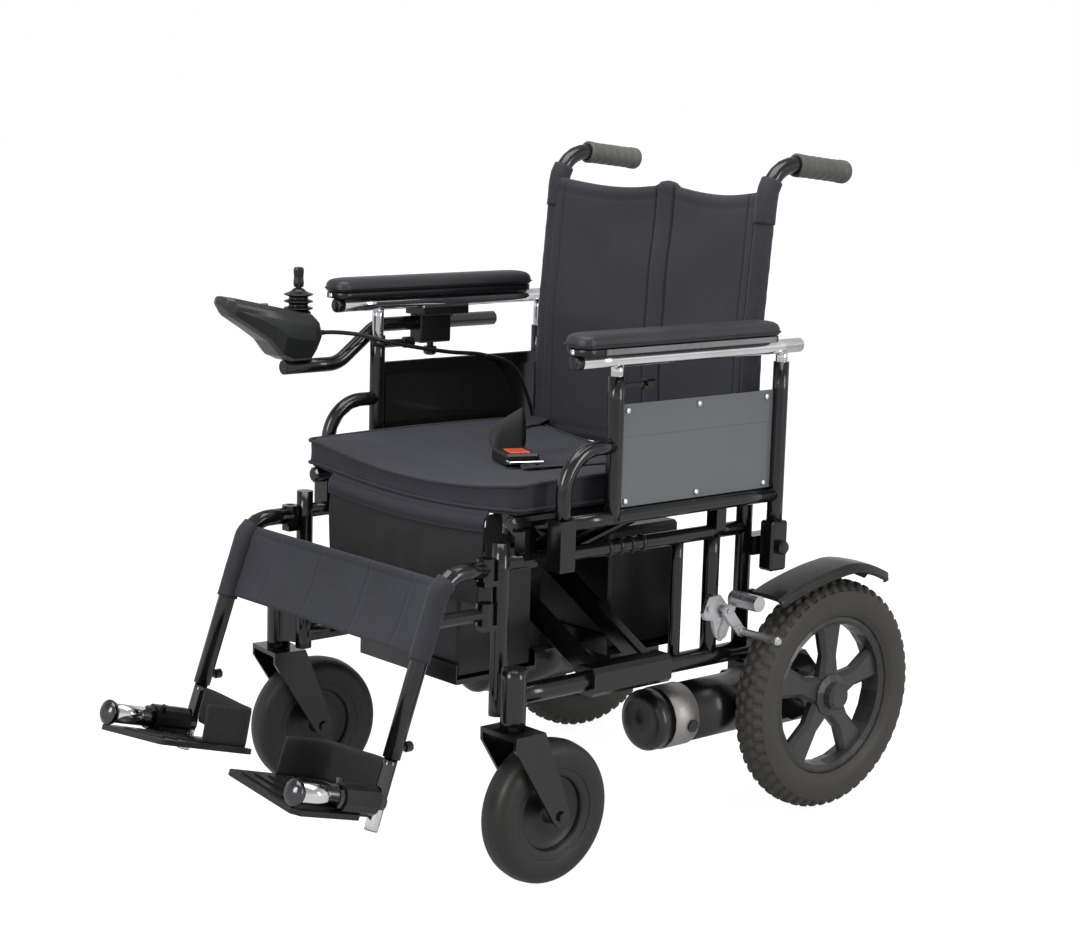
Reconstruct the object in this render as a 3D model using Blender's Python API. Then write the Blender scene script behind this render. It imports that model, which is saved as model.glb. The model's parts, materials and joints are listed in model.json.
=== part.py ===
"""Folding power wheelchair with a scissor frame, swing-away footrests and flip-back arms.

Units are metres. +X is the sitter's left, -Y is the front and +Z is up. The origin lies on the floor,
under the centre of the chair's box. Every piece of the chair is an object of its own.
"""

import math

import bmesh
import bpy
from mathutils import Matrix, Vector
from mathutils.bvhtree import BVHTree

# Driving dimensions of the whole chair
SIDES = (("left", 1), ("right", -1))
GAP = 0.0003
FRAME_X = 0.208
FRONT_Y = -0.204
REAR_Y = 0.229
LOWER_RAIL_Z = 0.2345
UPPER_RAIL_Z = 0.4065
SEAT_RAIL_Z = 0.455
AXLE_Y = 0.3593
WHEEL_R = 0.1625
WHEEL_X = FRAME_X + 0.0425
FENDER_R = WHEEL_R + 0.0255
BEAD_R = WHEEL_R - 0.0507
TYRE_W = 0.053
CASTER_X = FRAME_X + 0.0435
CASTER_Y = -0.2153
CASTER_R = 0.0932
CASTER_W = 0.046
CASTER_TRAIL = 0.0556
CASTER_TURN = {"left": 0.0, "right": math.radians(-7.5)}
ARM_X = FRAME_X + 0.0385
RIGHT_ARM_LIFT = 0.025

# Side frame tubes
TUBE_R = 0.011
RAIL_R = 0.0127
UPPER_RAIL_R = 0.0095
STRUT_R = 0.008
STRUT_Y = 0.103
LOCK_POST_Y = 0.168
UPRIGHT_BOTTOM_Z = 0.214
UPRIGHT_TOP_Z = 0.4345
CANE_LEAN_Z = 0.660
CANE_LEAN = math.radians(4.9)
CANE_TOP_Z = 0.899
CANE_BEND_R = 0.050
CANE_TOP_Y = REAR_Y + (CANE_TOP_Z - CANE_LEAN_Z) * math.tan(CANE_LEAN)
GRIP_START_Y = CANE_TOP_Y + 0.049310472
GRIP_END_Y = CANE_TOP_Y + 0.149010472
GRIP_END_Z = CANE_TOP_Z - 0.015
GRIP_R = 0.016

# Caster housing and fork
HOUSING_R = 0.016
HOUSING_BOTTOM_Z = 0.2085
HOUSING_TOP_Z = 0.285
STEM_R = 0.008
STEM_TOP_Z = 0.270
CROWN_T = 0.006
FORK_GAP = 0.059
FORK_T = 0.005
AXLE_BOLT_R = 0.004

# Scissor brace, with both pairs of legs crossing on one bolt
LEG_W = 0.020
LEG_T = 0.025
BRACE_MID_Y = 0.013
INNER_LEG_Y = 0.0265
OUTER_LEG_Y = 0.0475
SLEEVE_HALF_L = 0.0694
SLEEVE_W = 0.038
BOLT_R = 0.005
BOLT_HEAD_R = 0.009
BOLT_HEAD_T = 0.0075
SEAT_RAIL_FRONT_Y = -0.1905
SEAT_RAIL_REAR_Y = 0.205
SADDLES_Y = (-0.165, 0.175)

# Swing-away hanger and footrest
EYE_Y = FRONT_Y - 2 * TUBE_R - 0.002
EYE_R = 0.0115
EYE_H = 0.028
PIN_R = 0.005
HANGER_Z = 0.403
HANGER_STUB_Z = 0.347
STUB_R = 0.0085
HANGER_CORNER_Y = -0.2957
HANGER_SLOPE = math.radians(19.0)
HANGER_END_Z = 0.1882
HANGER_BEND_R = 0.040
FOOT_TUBE_R = 0.0085
FOOT_TUBE_INSERT = 0.135
FOOT_TUBE_BOTTOM_Z = 0.103
FOOT_TRAVEL = 0.080
PIVOT_R = 0.0125
PIVOT_L = 0.1355
PIVOT_FRONT_Y = -0.5150
PIVOT_FRONT_Z = 0.173
PIVOT_PITCH = math.radians(15.5)
PLATE_RISE = math.radians(5.5)
PLATE_REACH = 0.1325
PLATE_L = 0.149
PLATE_T = 0.007
PLATE_DROP = 0.0165
SLEEVE_START = 0.070
SLEEVE_L = 0.052
SLEEVE_R = 0.0185

# Armrest
ARM_TUBE_R = 0.0095
ARM_POST_R = 0.0105
ARM_INNER_R = 0.008
ARM_FRONT_Y = -0.138
ARM_POST_Y = -0.054
ARM_REAR_Y = 0.247
ARM_RAIL_Z = 0.4555
ARM_LOOP_Z = 0.547
ARM_LOOP_R = 0.055
ARM_POST_TOP_Z = 0.636
ARM_TUBE_Z = 0.6565
ARM_TUBE_FRONT_Y = -0.128
ARM_TUBE_REAR_Y = 0.280
ARM_LEG_BOTTOM_Z = 0.4085
ARM_PIVOT_Z = 0.385
ARM_SLIDE_TRAVEL = 0.075
PAD_X = FRAME_X + 0.0425
PAD_W = 0.050
PAD_FRONT_Y = -0.136
PAD_REAR_Y = 0.224
PAD_T = 0.0275

# Joystick on the right arm
MOUNT_X = -FRAME_X - 0.0605
MOUNT_R = 0.010
MOUNT_Z = 0.648
MOUNT_LOW_Z = 0.597
POD_HALF_W = 0.036
STICK_Y = -0.1753
STICK_SEAT_Z = 0.6725
POD_REAR_Y = -0.1540
STICK_PIVOT_Z = 0.6655
BUTTON_R = 0.0055
POWER_BUTTON = (MOUNT_X, -0.232)
CABLE_R = 0.003

# Seat and back
SEAT_HALF_W = FRAME_X + 0.010
SEAT_FRONT_Y = -0.188
SEAT_REAR_Y = 0.201
SLING_T = 0.003
SLING_HALF_XS = (0.04, 0.11, 0.17, FRAME_X - 0.006, FRAME_X + 0.0055)
SLING_XS = tuple(-x for x in SLING_HALF_XS[::-1]) + SLING_HALF_XS
SLING_SAG = 0.012
CUSHION_T = 0.036
CUSHION_DISH = 0.0075
BACK_BOTTOM_Z = 0.480
BACK_TOP_Z = CANE_TOP_Z - 0.041
BACK_T = 0.012
BACK_SAG = 0.030
HEM_Z = BACK_TOP_Z - 0.042

# Batteries on their cradle
BATTERY_HALF_W = 0.100
BATTERY_L = 0.130
BATTERY_H = 0.172
FRONT_BATTERY_Y = -0.1165
REAR_BATTERY_Y = 0.149
TRAY_Z = 0.226
TRAY_T = 0.006

# Motors
MOTOR_X = FRAME_X - 0.028
MOTOR_Z = WHEEL_R - 0.010
MOTOR_R = 0.0415
MOTOR_FRONT_Y = 0.0706
MOTOR_REAR_Y = 0.262
BRUSH_Y = 0.130
GEARBOX_Y = (0.300, 0.402)
GEARBOX_Z = (WHEEL_R - 0.0585, WHEEL_R + 0.0435)
SHAFT_R = 0.010
SHAFT_REACH = 0.0685
AXLE_PLATE_X = (FRAME_X - 0.012, FRAME_X - 0.006)

# Lap belt
BUCKLE = (0.045, -0.042)
BUCKLE_TURN = math.radians(-22.0)
BELT_W = 0.040
BELT_T = 0.0022
BELT_X = FRAME_X - 0.018

# Wheel lock
LOCK_X = FRAME_X + TUBE_R * math.cos(math.pi / 8) + GAP
LOCK_P1 = (0.178, 0.300)
LOCK_P2 = (0.176, 0.268)
LOCK_HANDLE = (0.205, 0.2685)
LOCK_HANDLE_END_X = FRAME_X + 0.0965
LOCK_SHOE = (0.196, 0.315)
LOCK_SHOE_END_X = FRAME_X + 0.066
LOCK_SHOE_R = 0.011


def brace_angle():
    """The slope of the brace legs when the chair is open."""
    return math.atan2(SEAT_RAIL_Z - LOWER_RAIL_Z, 2 * FRAME_X)


CENTRE_Z = (LOWER_RAIL_Z + SEAT_RAIL_Z) / 2


# Materials
def material(name, colour, roughness, metallic=0.0):
    """A Principled material of one colour."""
    made = bpy.data.materials.new(name)
    made.use_nodes = True
    made.diffuse_color = (*colour, 1)
    shader = made.node_tree.nodes["Principled BSDF"]
    shader.inputs["Base Color"].default_value = (*colour, 1)
    shader.inputs["Roughness"].default_value = roughness
    shader.inputs["Metallic"].default_value = metallic
    return made


def make_materials():
    """Every material of the chair, by name."""
    table = {
        "black_paint": ((0.012, 0.012, 0.013), 0.25, 0.2),
        "chrome": ((0.75, 0.75, 0.76), 0.12, 1.0),
        "aluminium": ((0.72, 0.73, 0.74), 0.35, 1.0),
        "nylon": ((0.034, 0.036, 0.050), 0.85, 0.0),
        "vinyl": ((0.020, 0.021, 0.024), 0.55, 0.0),
        "tyre_rubber": ((0.030, 0.029, 0.027), 0.8, 0.0),
        "grip_rubber": ((0.060, 0.062, 0.058), 0.7, 0.0),
        "grey_plastic": ((0.060, 0.060, 0.062), 0.45, 0.0),
        "black_plastic": ((0.018, 0.018, 0.019), 0.4, 0.0),
        "guard_plastic": ((0.160, 0.175, 0.185), 0.35, 0.0),
        "button_red": ((0.70, 0.10, 0.03), 0.35, 0.0),
        "button_grey": ((0.30, 0.30, 0.31), 0.4, 0.0),
    }
    return {name: material(name, *values) for name, values in table.items()}


# Mesh helpers
def clear_scene():
    """Empties the scene."""
    for obj in list(bpy.data.objects):
        bpy.data.objects.remove(obj, do_unlink=True)


def as_object(name, bm, mat, sharp=40.0):
    """Turns a closed bmesh into an object with its faces pointing out."""
    bmesh.ops.recalc_face_normals(bm, faces=bm.faces[:])
    mesh = bpy.data.meshes.new(name)
    bm.to_mesh(mesh)
    bm.free()
    mesh.shade_smooth()
    mesh.set_sharp_from_angle(angle=math.radians(sharp))
    mesh.materials.append(mat)
    obj = bpy.data.objects.new(name, mesh)
    bpy.context.scene.collection.objects.link(obj)
    return obj


def combine(base, tools, operation):
    """Joins the tools to the base, or cuts them out of it, and removes them."""
    for tool in tools:
        step = base.modifiers.new(tool.name, "BOOLEAN")
        step.operation = operation
        step.solver = "EXACT"
        step.object = tool
    bpy.context.view_layer.update()
    view = bpy.context.evaluated_depsgraph_get()
    mesh = bpy.data.meshes.new_from_object(base.evaluated_get(view))
    base.modifiers.clear()
    base.data = mesh
    bm = bmesh.new()
    bm.from_mesh(mesh)
    bmesh.ops.remove_doubles(bm, verts=bm.verts[:], dist=2e-6)
    bmesh.ops.dissolve_degenerate(bm, dist=2e-6, edges=bm.edges[:])
    bm.to_mesh(mesh)
    bm.free()
    mesh.shade_smooth()
    mesh.set_sharp_from_angle(angle=math.radians(40.0))
    for tool in tools:
        bpy.data.objects.remove(tool, do_unlink=True)
    return base


def fuse(base, *tools):
    """One solid from several that run into each other."""
    return combine(base, tools, "UNION")


def cut(base, *tools):
    """The base without the tools."""
    return combine(base, tools, "DIFFERENCE")


def rounded(points, radius, step=22.5):
    """A path through the points, with each corner turned at the given radius."""
    points = [Vector(p) for p in points]
    path = [points[0]]
    for before, corner, after in zip(points, points[1:], points[2:]):
        u = (before - corner).normalized()
        v = (after - corner).normalized()
        half = u.angle(v) / 2
        turn = math.pi - 2 * half
        if turn < 1e-3:
            path.append(corner)
            continue
        start = corner + u * (radius / math.tan(half))
        centre = corner + (u + v).normalized() * (radius / math.sin(half))
        axis = (-u).cross(v)
        count = max(2, math.ceil(math.degrees(turn) / step))
        for i in range(count + 1):
            path.append(centre + Matrix.Rotation(turn * i / count, 3, axis) @ (start - centre))
    path.append(points[-1])
    return path


def circle(radius, sides):
    """A round section, as points across the path and along its up direction."""
    angles = [2 * math.pi * (i + 0.5) / sides for i in range(sides)]
    return [(radius * math.cos(a), radius * math.sin(a)) for a in angles]


def rectangle(width, height, chamfer=0.0):
    """A rectangular section, with its corners cut off if a chamfer is given."""
    w, h = width / 2, height / 2
    if not chamfer:
        return [(w, h), (-w, h), (-w, -h), (w, -h)]
    c = chamfer
    return [(w, h - c), (w - c, h), (c - w, h), (-w, h - c), (-w, c - h), (c - w, -h), (w - c, -h), (w, c - h)]


def add_loft(bm, rings):
    """Skins a row of rings that have equally many points, and closes both ends."""
    made = [[bm.verts.new(p) for p in ring] for ring in rings]
    for low, high in zip(made, made[1:]):
        for i in range(len(low)):
            j = (i + 1) % len(low)
            bm.faces.new((low[i], low[j], high[j], high[i]))
    bm.faces.new(made[0][::-1])
    bm.faces.new(made[-1])


def loft(name, rings, mat, sharp=40.0):
    """A solid through a row of rings."""
    bm = bmesh.new()
    add_loft(bm, rings)
    return as_object(name, bm, mat, sharp)


def swept_rings(path, section, up=(0, 0, 1)):
    """The rings of a section carried along a path without twist."""
    path = [Vector(p) for p in path]
    rings = []
    across = None
    for i, point in enumerate(path):
        before = (point - path[i - 1]).normalized() if i else None
        after = (path[i + 1] - point).normalized() if i + 1 < len(path) else None
        ahead = ((before or after) + (after or before)).normalized()
        if across is None:
            across = ahead.cross(Vector(up))
            if across.length < 1e-6:
                across = ahead.cross(Vector((0, 1, 0)))
        across = (across - ahead * across.dot(ahead)).normalized()
        over = across.cross(ahead)
        stretch = 1.0
        bend = Vector()
        if before and after and before.angle(after) > 1e-4:
            stretch = 1 / math.cos(before.angle(after) / 2)
            bend = (after - before).normalized()
        ring = []
        for a, b in section:
            offset = across * a + over * b
            ring.append(point + offset + bend * offset.dot(bend) * (stretch - 1))
        rings.append(ring)
    return rings


def sweep(name, path, section, mat, up=(0, 0, 1)):
    """A section carried along a path."""
    return loft(name, swept_rings(path, section, up), mat)


def tube(name, path, radius, mat, sides=10):
    """A round bar along a path."""
    return sweep(name, path, circle(radius, sides), mat)


def axis_frame(origin, axis):
    """The matrix that takes +Z to the axis and the zero point to the origin."""
    turn = Vector(axis).to_track_quat("Z", "Y").to_matrix().to_4x4()
    return Matrix.Translation(Vector(origin)) @ turn


def turned(name, profile, origin, axis, mat, steps=16, closed=False, sharp=40.0, phase=0.5):
    """A profile of radius and height turned about an axis. An open profile starts and ends on the axis."""
    bm = bmesh.new()
    place = axis_frame(origin, axis)
    rings = []
    for r, h in profile:
        if r <= 0:
            rings.append([bm.verts.new(place @ Vector((0, 0, h)))])
            continue
        ring = []
        for i in range(steps):
            a = 2 * math.pi * (i + phase) / steps
            ring.append(bm.verts.new(place @ Vector((r * math.cos(a), r * math.sin(a), h))))
        rings.append(ring)
    pairs = list(zip(rings, rings[1:]))
    if closed:
        pairs.append((rings[-1], rings[0]))
    for low, high in pairs:
        for i in range(steps):
            j = (i + 1) % steps
            if len(low) == 1:
                bm.faces.new((low[0], high[j], high[i]))
            elif len(high) == 1:
                bm.faces.new((low[i], low[j], high[0]))
            else:
                bm.faces.new((low[i], low[j], high[j], high[i]))
    return as_object(name, bm, mat, sharp)


def rod(name, start, end, radius, mat, sides=10):
    """A straight round bar from one point to another."""
    start, end = Vector(start), Vector(end)
    length = (end - start).length
    profile = [(0, 0), (radius, 0), (radius, length), (0, length)]
    return turned(name, profile, start, end - start, mat, sides)


def clear_radius(radius, sides):
    """The corner radius of a faceted hole whose flats stand a gap off a round piece of the given radius."""
    return (radius + GAP) / math.cos(math.pi / sides)


def bore(name, start, end, radius, mat, sides=10):
    """A cutter for the hole in which a bar of the given radius sits or turns."""
    return rod(name, start, end, clear_radius(radius, sides), mat, sides)


def box(name, low, high, mat, bevel=0.0):
    """A box between two corners, with its edges bevelled if asked."""
    low, high = Vector(low), Vector(high)
    bm = bmesh.new()
    bmesh.ops.create_cube(bm, size=1.0)
    size = Vector([abs(b - a) for a, b in zip(low, high)])
    bmesh.ops.scale(bm, vec=size, verts=bm.verts[:])
    bmesh.ops.translate(bm, vec=(low + high) / 2, verts=bm.verts[:])
    if bevel:
        bmesh.ops.bevel(bm, geom=bm.edges[:], offset=bevel, segments=1, affect="EDGES", clamp_overlap=True)
    return as_object(name, bm, mat)


def plate(name, outline, x_low, x_high, mat):
    """An outline in the YZ plane, made as thick as the space between two X values."""
    rings = [[(x, y, z) for y, z in outline] for x in (x_low, x_high)]
    return loft(name, rings, mat, 30.0)


def arc_points(centre, radius, start, end, count):
    """Points on a round stretch of an outline, with angles in degrees."""
    angles = [math.radians(start + (end - start) * i / count) for i in range(count + 1)]
    return [(centre[0] + radius * math.cos(a), centre[1] + radius * math.sin(a)) for a in angles]


def mirrored(side, point):
    """A point of the left side, taken to the given side."""
    return (side * point[0], point[1], point[2])


# Side frames
def cane_lean(z):
    """How far back the push cane leans at a height."""
    return max(z - CANE_LEAN_Z, 0.0) * math.tan(CANE_LEAN)


def cane_route(side):
    """The axis of a push cane: upright, then leaning back, then bent to the rear for the grip."""
    x = side * FRAME_X
    corner = (x, REAR_Y + cane_lean(CANE_TOP_Z), CANE_TOP_Z)
    top = rounded([(x, REAR_Y, CANE_LEAN_Z), corner, (x, GRIP_END_Y - 0.004, GRIP_END_Z)], CANE_BEND_R, 18.0)
    return [Vector((x, REAR_Y, LOWER_RAIL_Z)), *top]


def frame_tubes(side, paint):
    """The welded tubes of one side frame."""
    x = side * FRAME_X
    cane = cane_route(side)
    low, high = LOWER_RAIL_Z + 0.003, UPPER_RAIL_Z - 0.003
    return [
        tube("cane", cane, TUBE_R, paint),
        rod("lower_rail", (x, FRONT_Y, LOWER_RAIL_Z), (x, REAR_Y + 0.013, LOWER_RAIL_Z), RAIL_R, paint),
        rod("upper_rail", (x, FRONT_Y + 0.001, UPPER_RAIL_Z), (x, REAR_Y - 0.001, UPPER_RAIL_Z), UPPER_RAIL_R, paint),
        rod("upright", (x, FRONT_Y, UPRIGHT_BOTTOM_Z), (x, FRONT_Y, UPRIGHT_TOP_Z), TUBE_R, paint),
        rod("strut", (x, STRUT_Y, low), (x, STRUT_Y, high), STRUT_R, paint, 8),
        rod("lock_post", (x, LOCK_POST_Y, low), (x, LOCK_POST_Y, high), TUBE_R, paint, 8),
    ]


def caster_housing(side, paint):
    """The upright bearing housing of a caster, open below, and the web that joins it to the frame."""
    x = side * CASTER_X
    hole = clear_radius(STEM_R, 10)
    top = HOUSING_TOP_Z - HOUSING_BOTTOM_Z
    deep = STEM_TOP_Z + 0.001 - HOUSING_BOTTOM_Z
    profile = [(0, deep), (hole, deep), (hole, 0), (HOUSING_R, 0), (HOUSING_R, top - 0.004)]
    profile += [(HOUSING_R - 0.004, top), (0, top)]
    housing = turned("housing", profile, (x, CASTER_Y, HOUSING_BOTTOM_Z), (0, 0, 1), paint, 10)
    web = sweep(
        "web",
        [(side * (FRAME_X + 0.004), FRONT_Y, 0.246), (side * (CASTER_X - 0.011), CASTER_Y, 0.246)],
        rectangle(0.012, 0.052),
        paint,
    )
    return [housing, web]


def hanger_receivers(side, paint):
    """The two lugs and upright pins that a hanger drops onto."""
    x = side * FRAME_X
    made = []
    for name, z in (("upper", HANGER_Z), ("lower", HANGER_STUB_Z)):
        top = z - EYE_H / 2 - GAP
        made.append(
            box(name + "_lug", (x - 0.008, EYE_Y - 0.008, top - 0.007), (x + 0.008, FRONT_Y, top), paint)
        )
        made.append(rod(name + "_pin", (x, EYE_Y, top - 0.004), (x, EYE_Y, z + 0.012), PIN_R, paint, 8))
    return made


def seat_saddles(side, paint):
    """The blocks on the upper rail that the seat rail rests in when the chair is open."""
    x = side * FRAME_X
    top = SEAT_RAIL_Z - TUBE_R * 0.45
    made = []
    for y in SADDLES_Y:
        made.append(box("saddle", (x - 0.0095, y - 0.009, UPPER_RAIL_Z), (x + 0.0095, y + 0.009, top), paint))
    return made


def saddle_grooves(side, paint):
    """The round beds of the saddles, cut a gap larger than the seat rail."""
    x = side * FRAME_X
    ends = (SADDLES_Y[0] - 0.02, SADDLES_Y[1] + 0.02)
    return bore("beds", (x, ends[0], SEAT_RAIL_Z), (x, ends[1], SEAT_RAIL_Z), TUBE_R, paint, 12)


def arm_sockets(side, paint):
    """The bar to the front socket, the socket's block, and the rear pivot's bracket with its pin and knob."""
    bar = box(
        "socket_bar",
        mirrored(side, (FRAME_X, ARM_FRONT_Y - 0.012, UPPER_RAIL_Z - 0.007)),
        mirrored(side, (ARM_X - 0.011, ARM_FRONT_Y + 0.010, UPPER_RAIL_Z + 0.008)),
        paint,
    )
    block = box(
        "socket",
        mirrored(side, (ARM_X - 0.0125, ARM_FRONT_Y - 0.0135, ARM_LEG_BOTTOM_Z - 0.0115)),
        mirrored(side, (ARM_X + 0.0125, ARM_FRONT_Y + 0.0115, ARM_LEG_BOTTOM_Z + 0.053)),
        paint,
    )
    bracket = box(
        "pivot_bracket",
        mirrored(side, (FRAME_X, REAR_Y - 0.008, ARM_PIVOT_Z - 0.013)),
        mirrored(side, (ARM_X - 0.013, ARM_REAR_Y + 0.014, ARM_PIVOT_Z + 0.013)),
        paint,
    )
    start = mirrored(side, (ARM_X - 0.016, ARM_REAR_Y, ARM_PIVOT_Z))
    profile = [(0, 0), (0.0045, 0), (0.0045, 0.0288), (0.010, 0.0288), (0.010, 0.036), (0.007, 0.039), (0, 0.039)]
    pin = turned("pivot_pin", profile, start, (side, 0, 0), paint, 8)
    return [bar, block, bracket, pin]


def socket_slot(side, paint):
    """The slot of the front socket, open above and to the rear so that the arm can flip back."""
    half = ARM_TUBE_R + 0.0005
    return box(
        "slot",
        mirrored(side, (ARM_X - half, ARM_FRONT_Y - ARM_TUBE_R - 0.0007, ARM_LEG_BOTTOM_Z - 0.0035)),
        mirrored(side, (ARM_X + half, ARM_FRONT_Y + 0.030, ARM_LEG_BOTTOM_Z + 0.060)),
        paint,
    )


def axle_plate(side, paint):
    """The plate that carries the motor's gearbox, with the hole for the drive shaft."""
    outline = [(0.206, 0.226), (0.232, 0.250), (0.262, 0.250), (0.322, 0.222)]
    outline += arc_points((AXLE_Y, WHEEL_R - 0.0025), 0.048, 60, -130, 6)
    outline += [(0.312, WHEEL_R - 0.0125), (0.262, 0.205)]
    return plate("axle_plate", outline, side * AXLE_PLATE_X[0], side * AXLE_PLATE_X[1], paint)


def make_frame(label, side, mats):
    """One welded side frame with its push cane."""
    paint = mats["black_paint"]
    tubes = frame_tubes(side, paint)
    parts = caster_housing(side, paint) + hanger_receivers(side, paint) + seat_saddles(side, paint)
    parts += arm_sockets(side, paint) + [axle_plate(side, paint)]
    frame = fuse(tubes[0], *tubes[1:], *parts)
    frame.name = label + "_frame"
    shaft_x = (side * (AXLE_PLATE_X[0] - 0.01), side * (AXLE_PLATE_X[1] + 0.01))
    hole = rod("hole", (shaft_x[0], AXLE_Y, WHEEL_R), (shaft_x[1], AXLE_Y, WHEEL_R), SHAFT_R + 0.0025, paint, 12)
    return cut(frame, saddle_grooves(side, paint), socket_slot(side, paint), hole)


def make_grip(label, side, mats):
    """A ribbed rubber grip, bored to slip over the end of its push cane."""
    x = side * FRAME_X
    slope = Vector((0, GRIP_END_Y - REAR_Y - cane_lean(CANE_TOP_Z), GRIP_END_Z - CANE_TOP_Z)).normalized()
    end = Vector((x, GRIP_END_Y, GRIP_END_Z))
    start = end - slope * (GRIP_END_Y - GRIP_START_Y) / slope.y
    length = (end - start).length
    hole = clear_radius(TUBE_R, 10)
    profile = [(0, length - 0.0035), (hole, length - 0.0035), (hole, 0), (GRIP_R, 0.0015), (GRIP_R, 0.008)]
    ribs = 5
    pitch = (length - 0.026) / ribs
    for i in range(ribs):
        foot = 0.010 + i * pitch
        profile += [(GRIP_R - 0.0016, foot), (GRIP_R - 0.0004, foot + pitch * 0.5)]
    profile += [(GRIP_R - 0.0016, length - 0.014), (GRIP_R, length - 0.012), (GRIP_R, length - 0.003)]
    profile += [(GRIP_R - 0.003, length), (0, length)]
    return turned(label + "_grip", profile, start, slope, mats["grip_rubber"], 10)


# Drive wheels and motors
def make_motor(label, side, mats):
    """A motor can lying along the chair, its gearbox and its brush caps."""
    paint = mats["black_paint"]
    x = side * MOTOR_X
    length = MOTOR_REAR_Y - MOTOR_FRONT_Y
    r = MOTOR_R
    profile = [(0, 0), (r - 0.012, 0.0005), (r - 0.002, 0.006), (r, 0.012), (r, 0.022), (r - 0.002, 0.024)]
    profile += [(r - 0.002, 0.0285), (r + 0.001, 0.0294), (r + 0.001, 0.0734), (r - 0.001, 0.0744)]
    profile += [(r - 0.001, length), (0, length)]
    can = turned("can", profile, (x, MOTOR_FRONT_Y, MOTOR_Z), (0, 1, 0), paint, 16)
    face = AXLE_PLATE_X[0] - GAP
    gearbox = box(
        "gearbox",
        (x - side * 0.068, GEARBOX_Y[0], GEARBOX_Z[0]),
        (side * face, GEARBOX_Y[1], GEARBOX_Z[1]),
        paint,
        0.010,
    )
    neck = box(
        "neck",
        (x - side * 0.034, MOTOR_REAR_Y - 0.007, MOTOR_Z - 0.034),
        (side * face, GEARBOX_Y[0] + 0.012, MOTOR_Z + 0.036),
        paint,
        0.004,
    )
    caps = []
    drop = math.radians(-8.0)
    for way in (-1, 1):
        aim = Vector((way * math.cos(drop), 0, math.sin(drop)))
        seat = Vector((x, BRUSH_Y, MOTOR_Z)) + aim * (r - 0.006)
        caps.append(rod("brush_cap", seat, seat + aim * 0.0105, 0.009, paint, 8))
    motor = fuse(can, gearbox, neck, *caps)
    motor.name = label + "_motor"
    deep, mouth = side * (WHEEL_X - SHAFT_REACH - 0.002), side * (AXLE_PLATE_X[0] + 0.01)
    return cut(motor, bore("socket", (deep, AXLE_Y, WHEEL_R), (mouth, AXLE_Y, WHEEL_R), SHAFT_R, paint, 12))


def make_tyre(label, side, mats):
    """A pneumatic tyre with a knobbed tread. Its rings step in and out to form the knobs."""
    half = TYRE_W / 2
    knobs = 22
    wall, edge, shoulder = BEAD_R + 0.0202, WHEEL_R - 0.0095, WHEEL_R - 0.0025
    profile = [(BEAD_R, -0.019, 0), (BEAD_R, 0.019, 0), (wall, half, 0), (edge, half - 0.0035, 0.6)]
    profile += [(shoulder, 0.0135, 1), (WHEEL_R, 0.004, 1), (WHEEL_R, -0.004, -1), (shoulder, -0.0135, -1)]
    profile += [(edge, 0.0035 - half, -0.6), (wall, -half, 0)]
    depth = 0.0028
    bm = bmesh.new()
    rings = []
    for i in range(2 * knobs):
        a = -math.pi / 2 + math.pi * i / knobs
        high = i % 2 == 0
        ring = []
        for r, w, turn in profile:
            out = r
            if turn and (high != (turn > 0)):
                out = r - depth * abs(turn)
            ring.append(bm.verts.new((side * (WHEEL_X + w), AXLE_Y + out * math.cos(a), WHEEL_R + out * math.sin(a))))
        rings.append(ring)
    for k, low in enumerate(rings):
        high_ring = rings[(k + 1) % len(rings)]
        for i in range(len(low)):
            j = (i + 1) % len(low)
            bm.faces.new((low[i], low[j], high_ring[j], high_ring[i]))
    return as_object(label + "_tyre", bm, mats["tyre_rubber"], 25.0)


def make_mag_wheel(label, side, mats):
    """A moulded wheel with five broad spokes, its hub cap and the drive shaft."""
    mat = mats["grey_plastic"]
    outer, inner = BEAD_R - GAP, BEAD_R - 0.0108
    rim_profile = [(outer, -0.0175), (outer, 0.0175), (outer - 0.005, 0.0195), (inner, 0.0150)]
    rim_profile += [(inner - 0.0025, 0), (inner, -0.0150), (outer - 0.005, -0.0195)]
    centre = (side * WHEEL_X, AXLE_Y, WHEEL_R)
    rim = turned("rim", rim_profile, centre, (side, 0, 0), mat, 26, closed=True)
    hub_profile = [(0, -SHAFT_REACH), (SHAFT_R, -SHAFT_REACH), (SHAFT_R, -0.0450), (0.0215, -0.0450), (0.0235, -0.016)]
    hub_profile += [(0.0300, -0.013), (0.0300, 0.0160), (0.0200, 0.0195), (0.0195, 0.0290)]
    hub_profile += [(0.0150, 0.0335), (0, 0.0335)]
    hub = turned("hub", hub_profile, centre, (side, 0, 0), mat, 12)
    spokes = []
    for k in range(5):
        a = math.radians(90 + 72 * k)
        out = Vector((0, math.cos(a), math.sin(a)))
        cross = Vector((0, -math.sin(a), math.cos(a)))
        rings = []
        for r, width, thick, lift in ((0.022, 0.040, 0.020, 0.004), (0.055, 0.029, 0.019, 0.004),
                                      (inner + 0.0025, 0.050, 0.018, 0.001)):
            middle = Vector(centre) + out * r + Vector((side * lift, 0, 0))
            ring = []
            for u, v in rectangle(width, thick, 0.006):
                ring.append(middle + cross * u + Vector((side * v, 0, 0)))
            rings.append(ring)
        spokes.append(loft("spoke", rings, mat))
    wheel = fuse(rim, hub, *spokes)
    wheel.name = label + "_mag_wheel"
    return wheel


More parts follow.
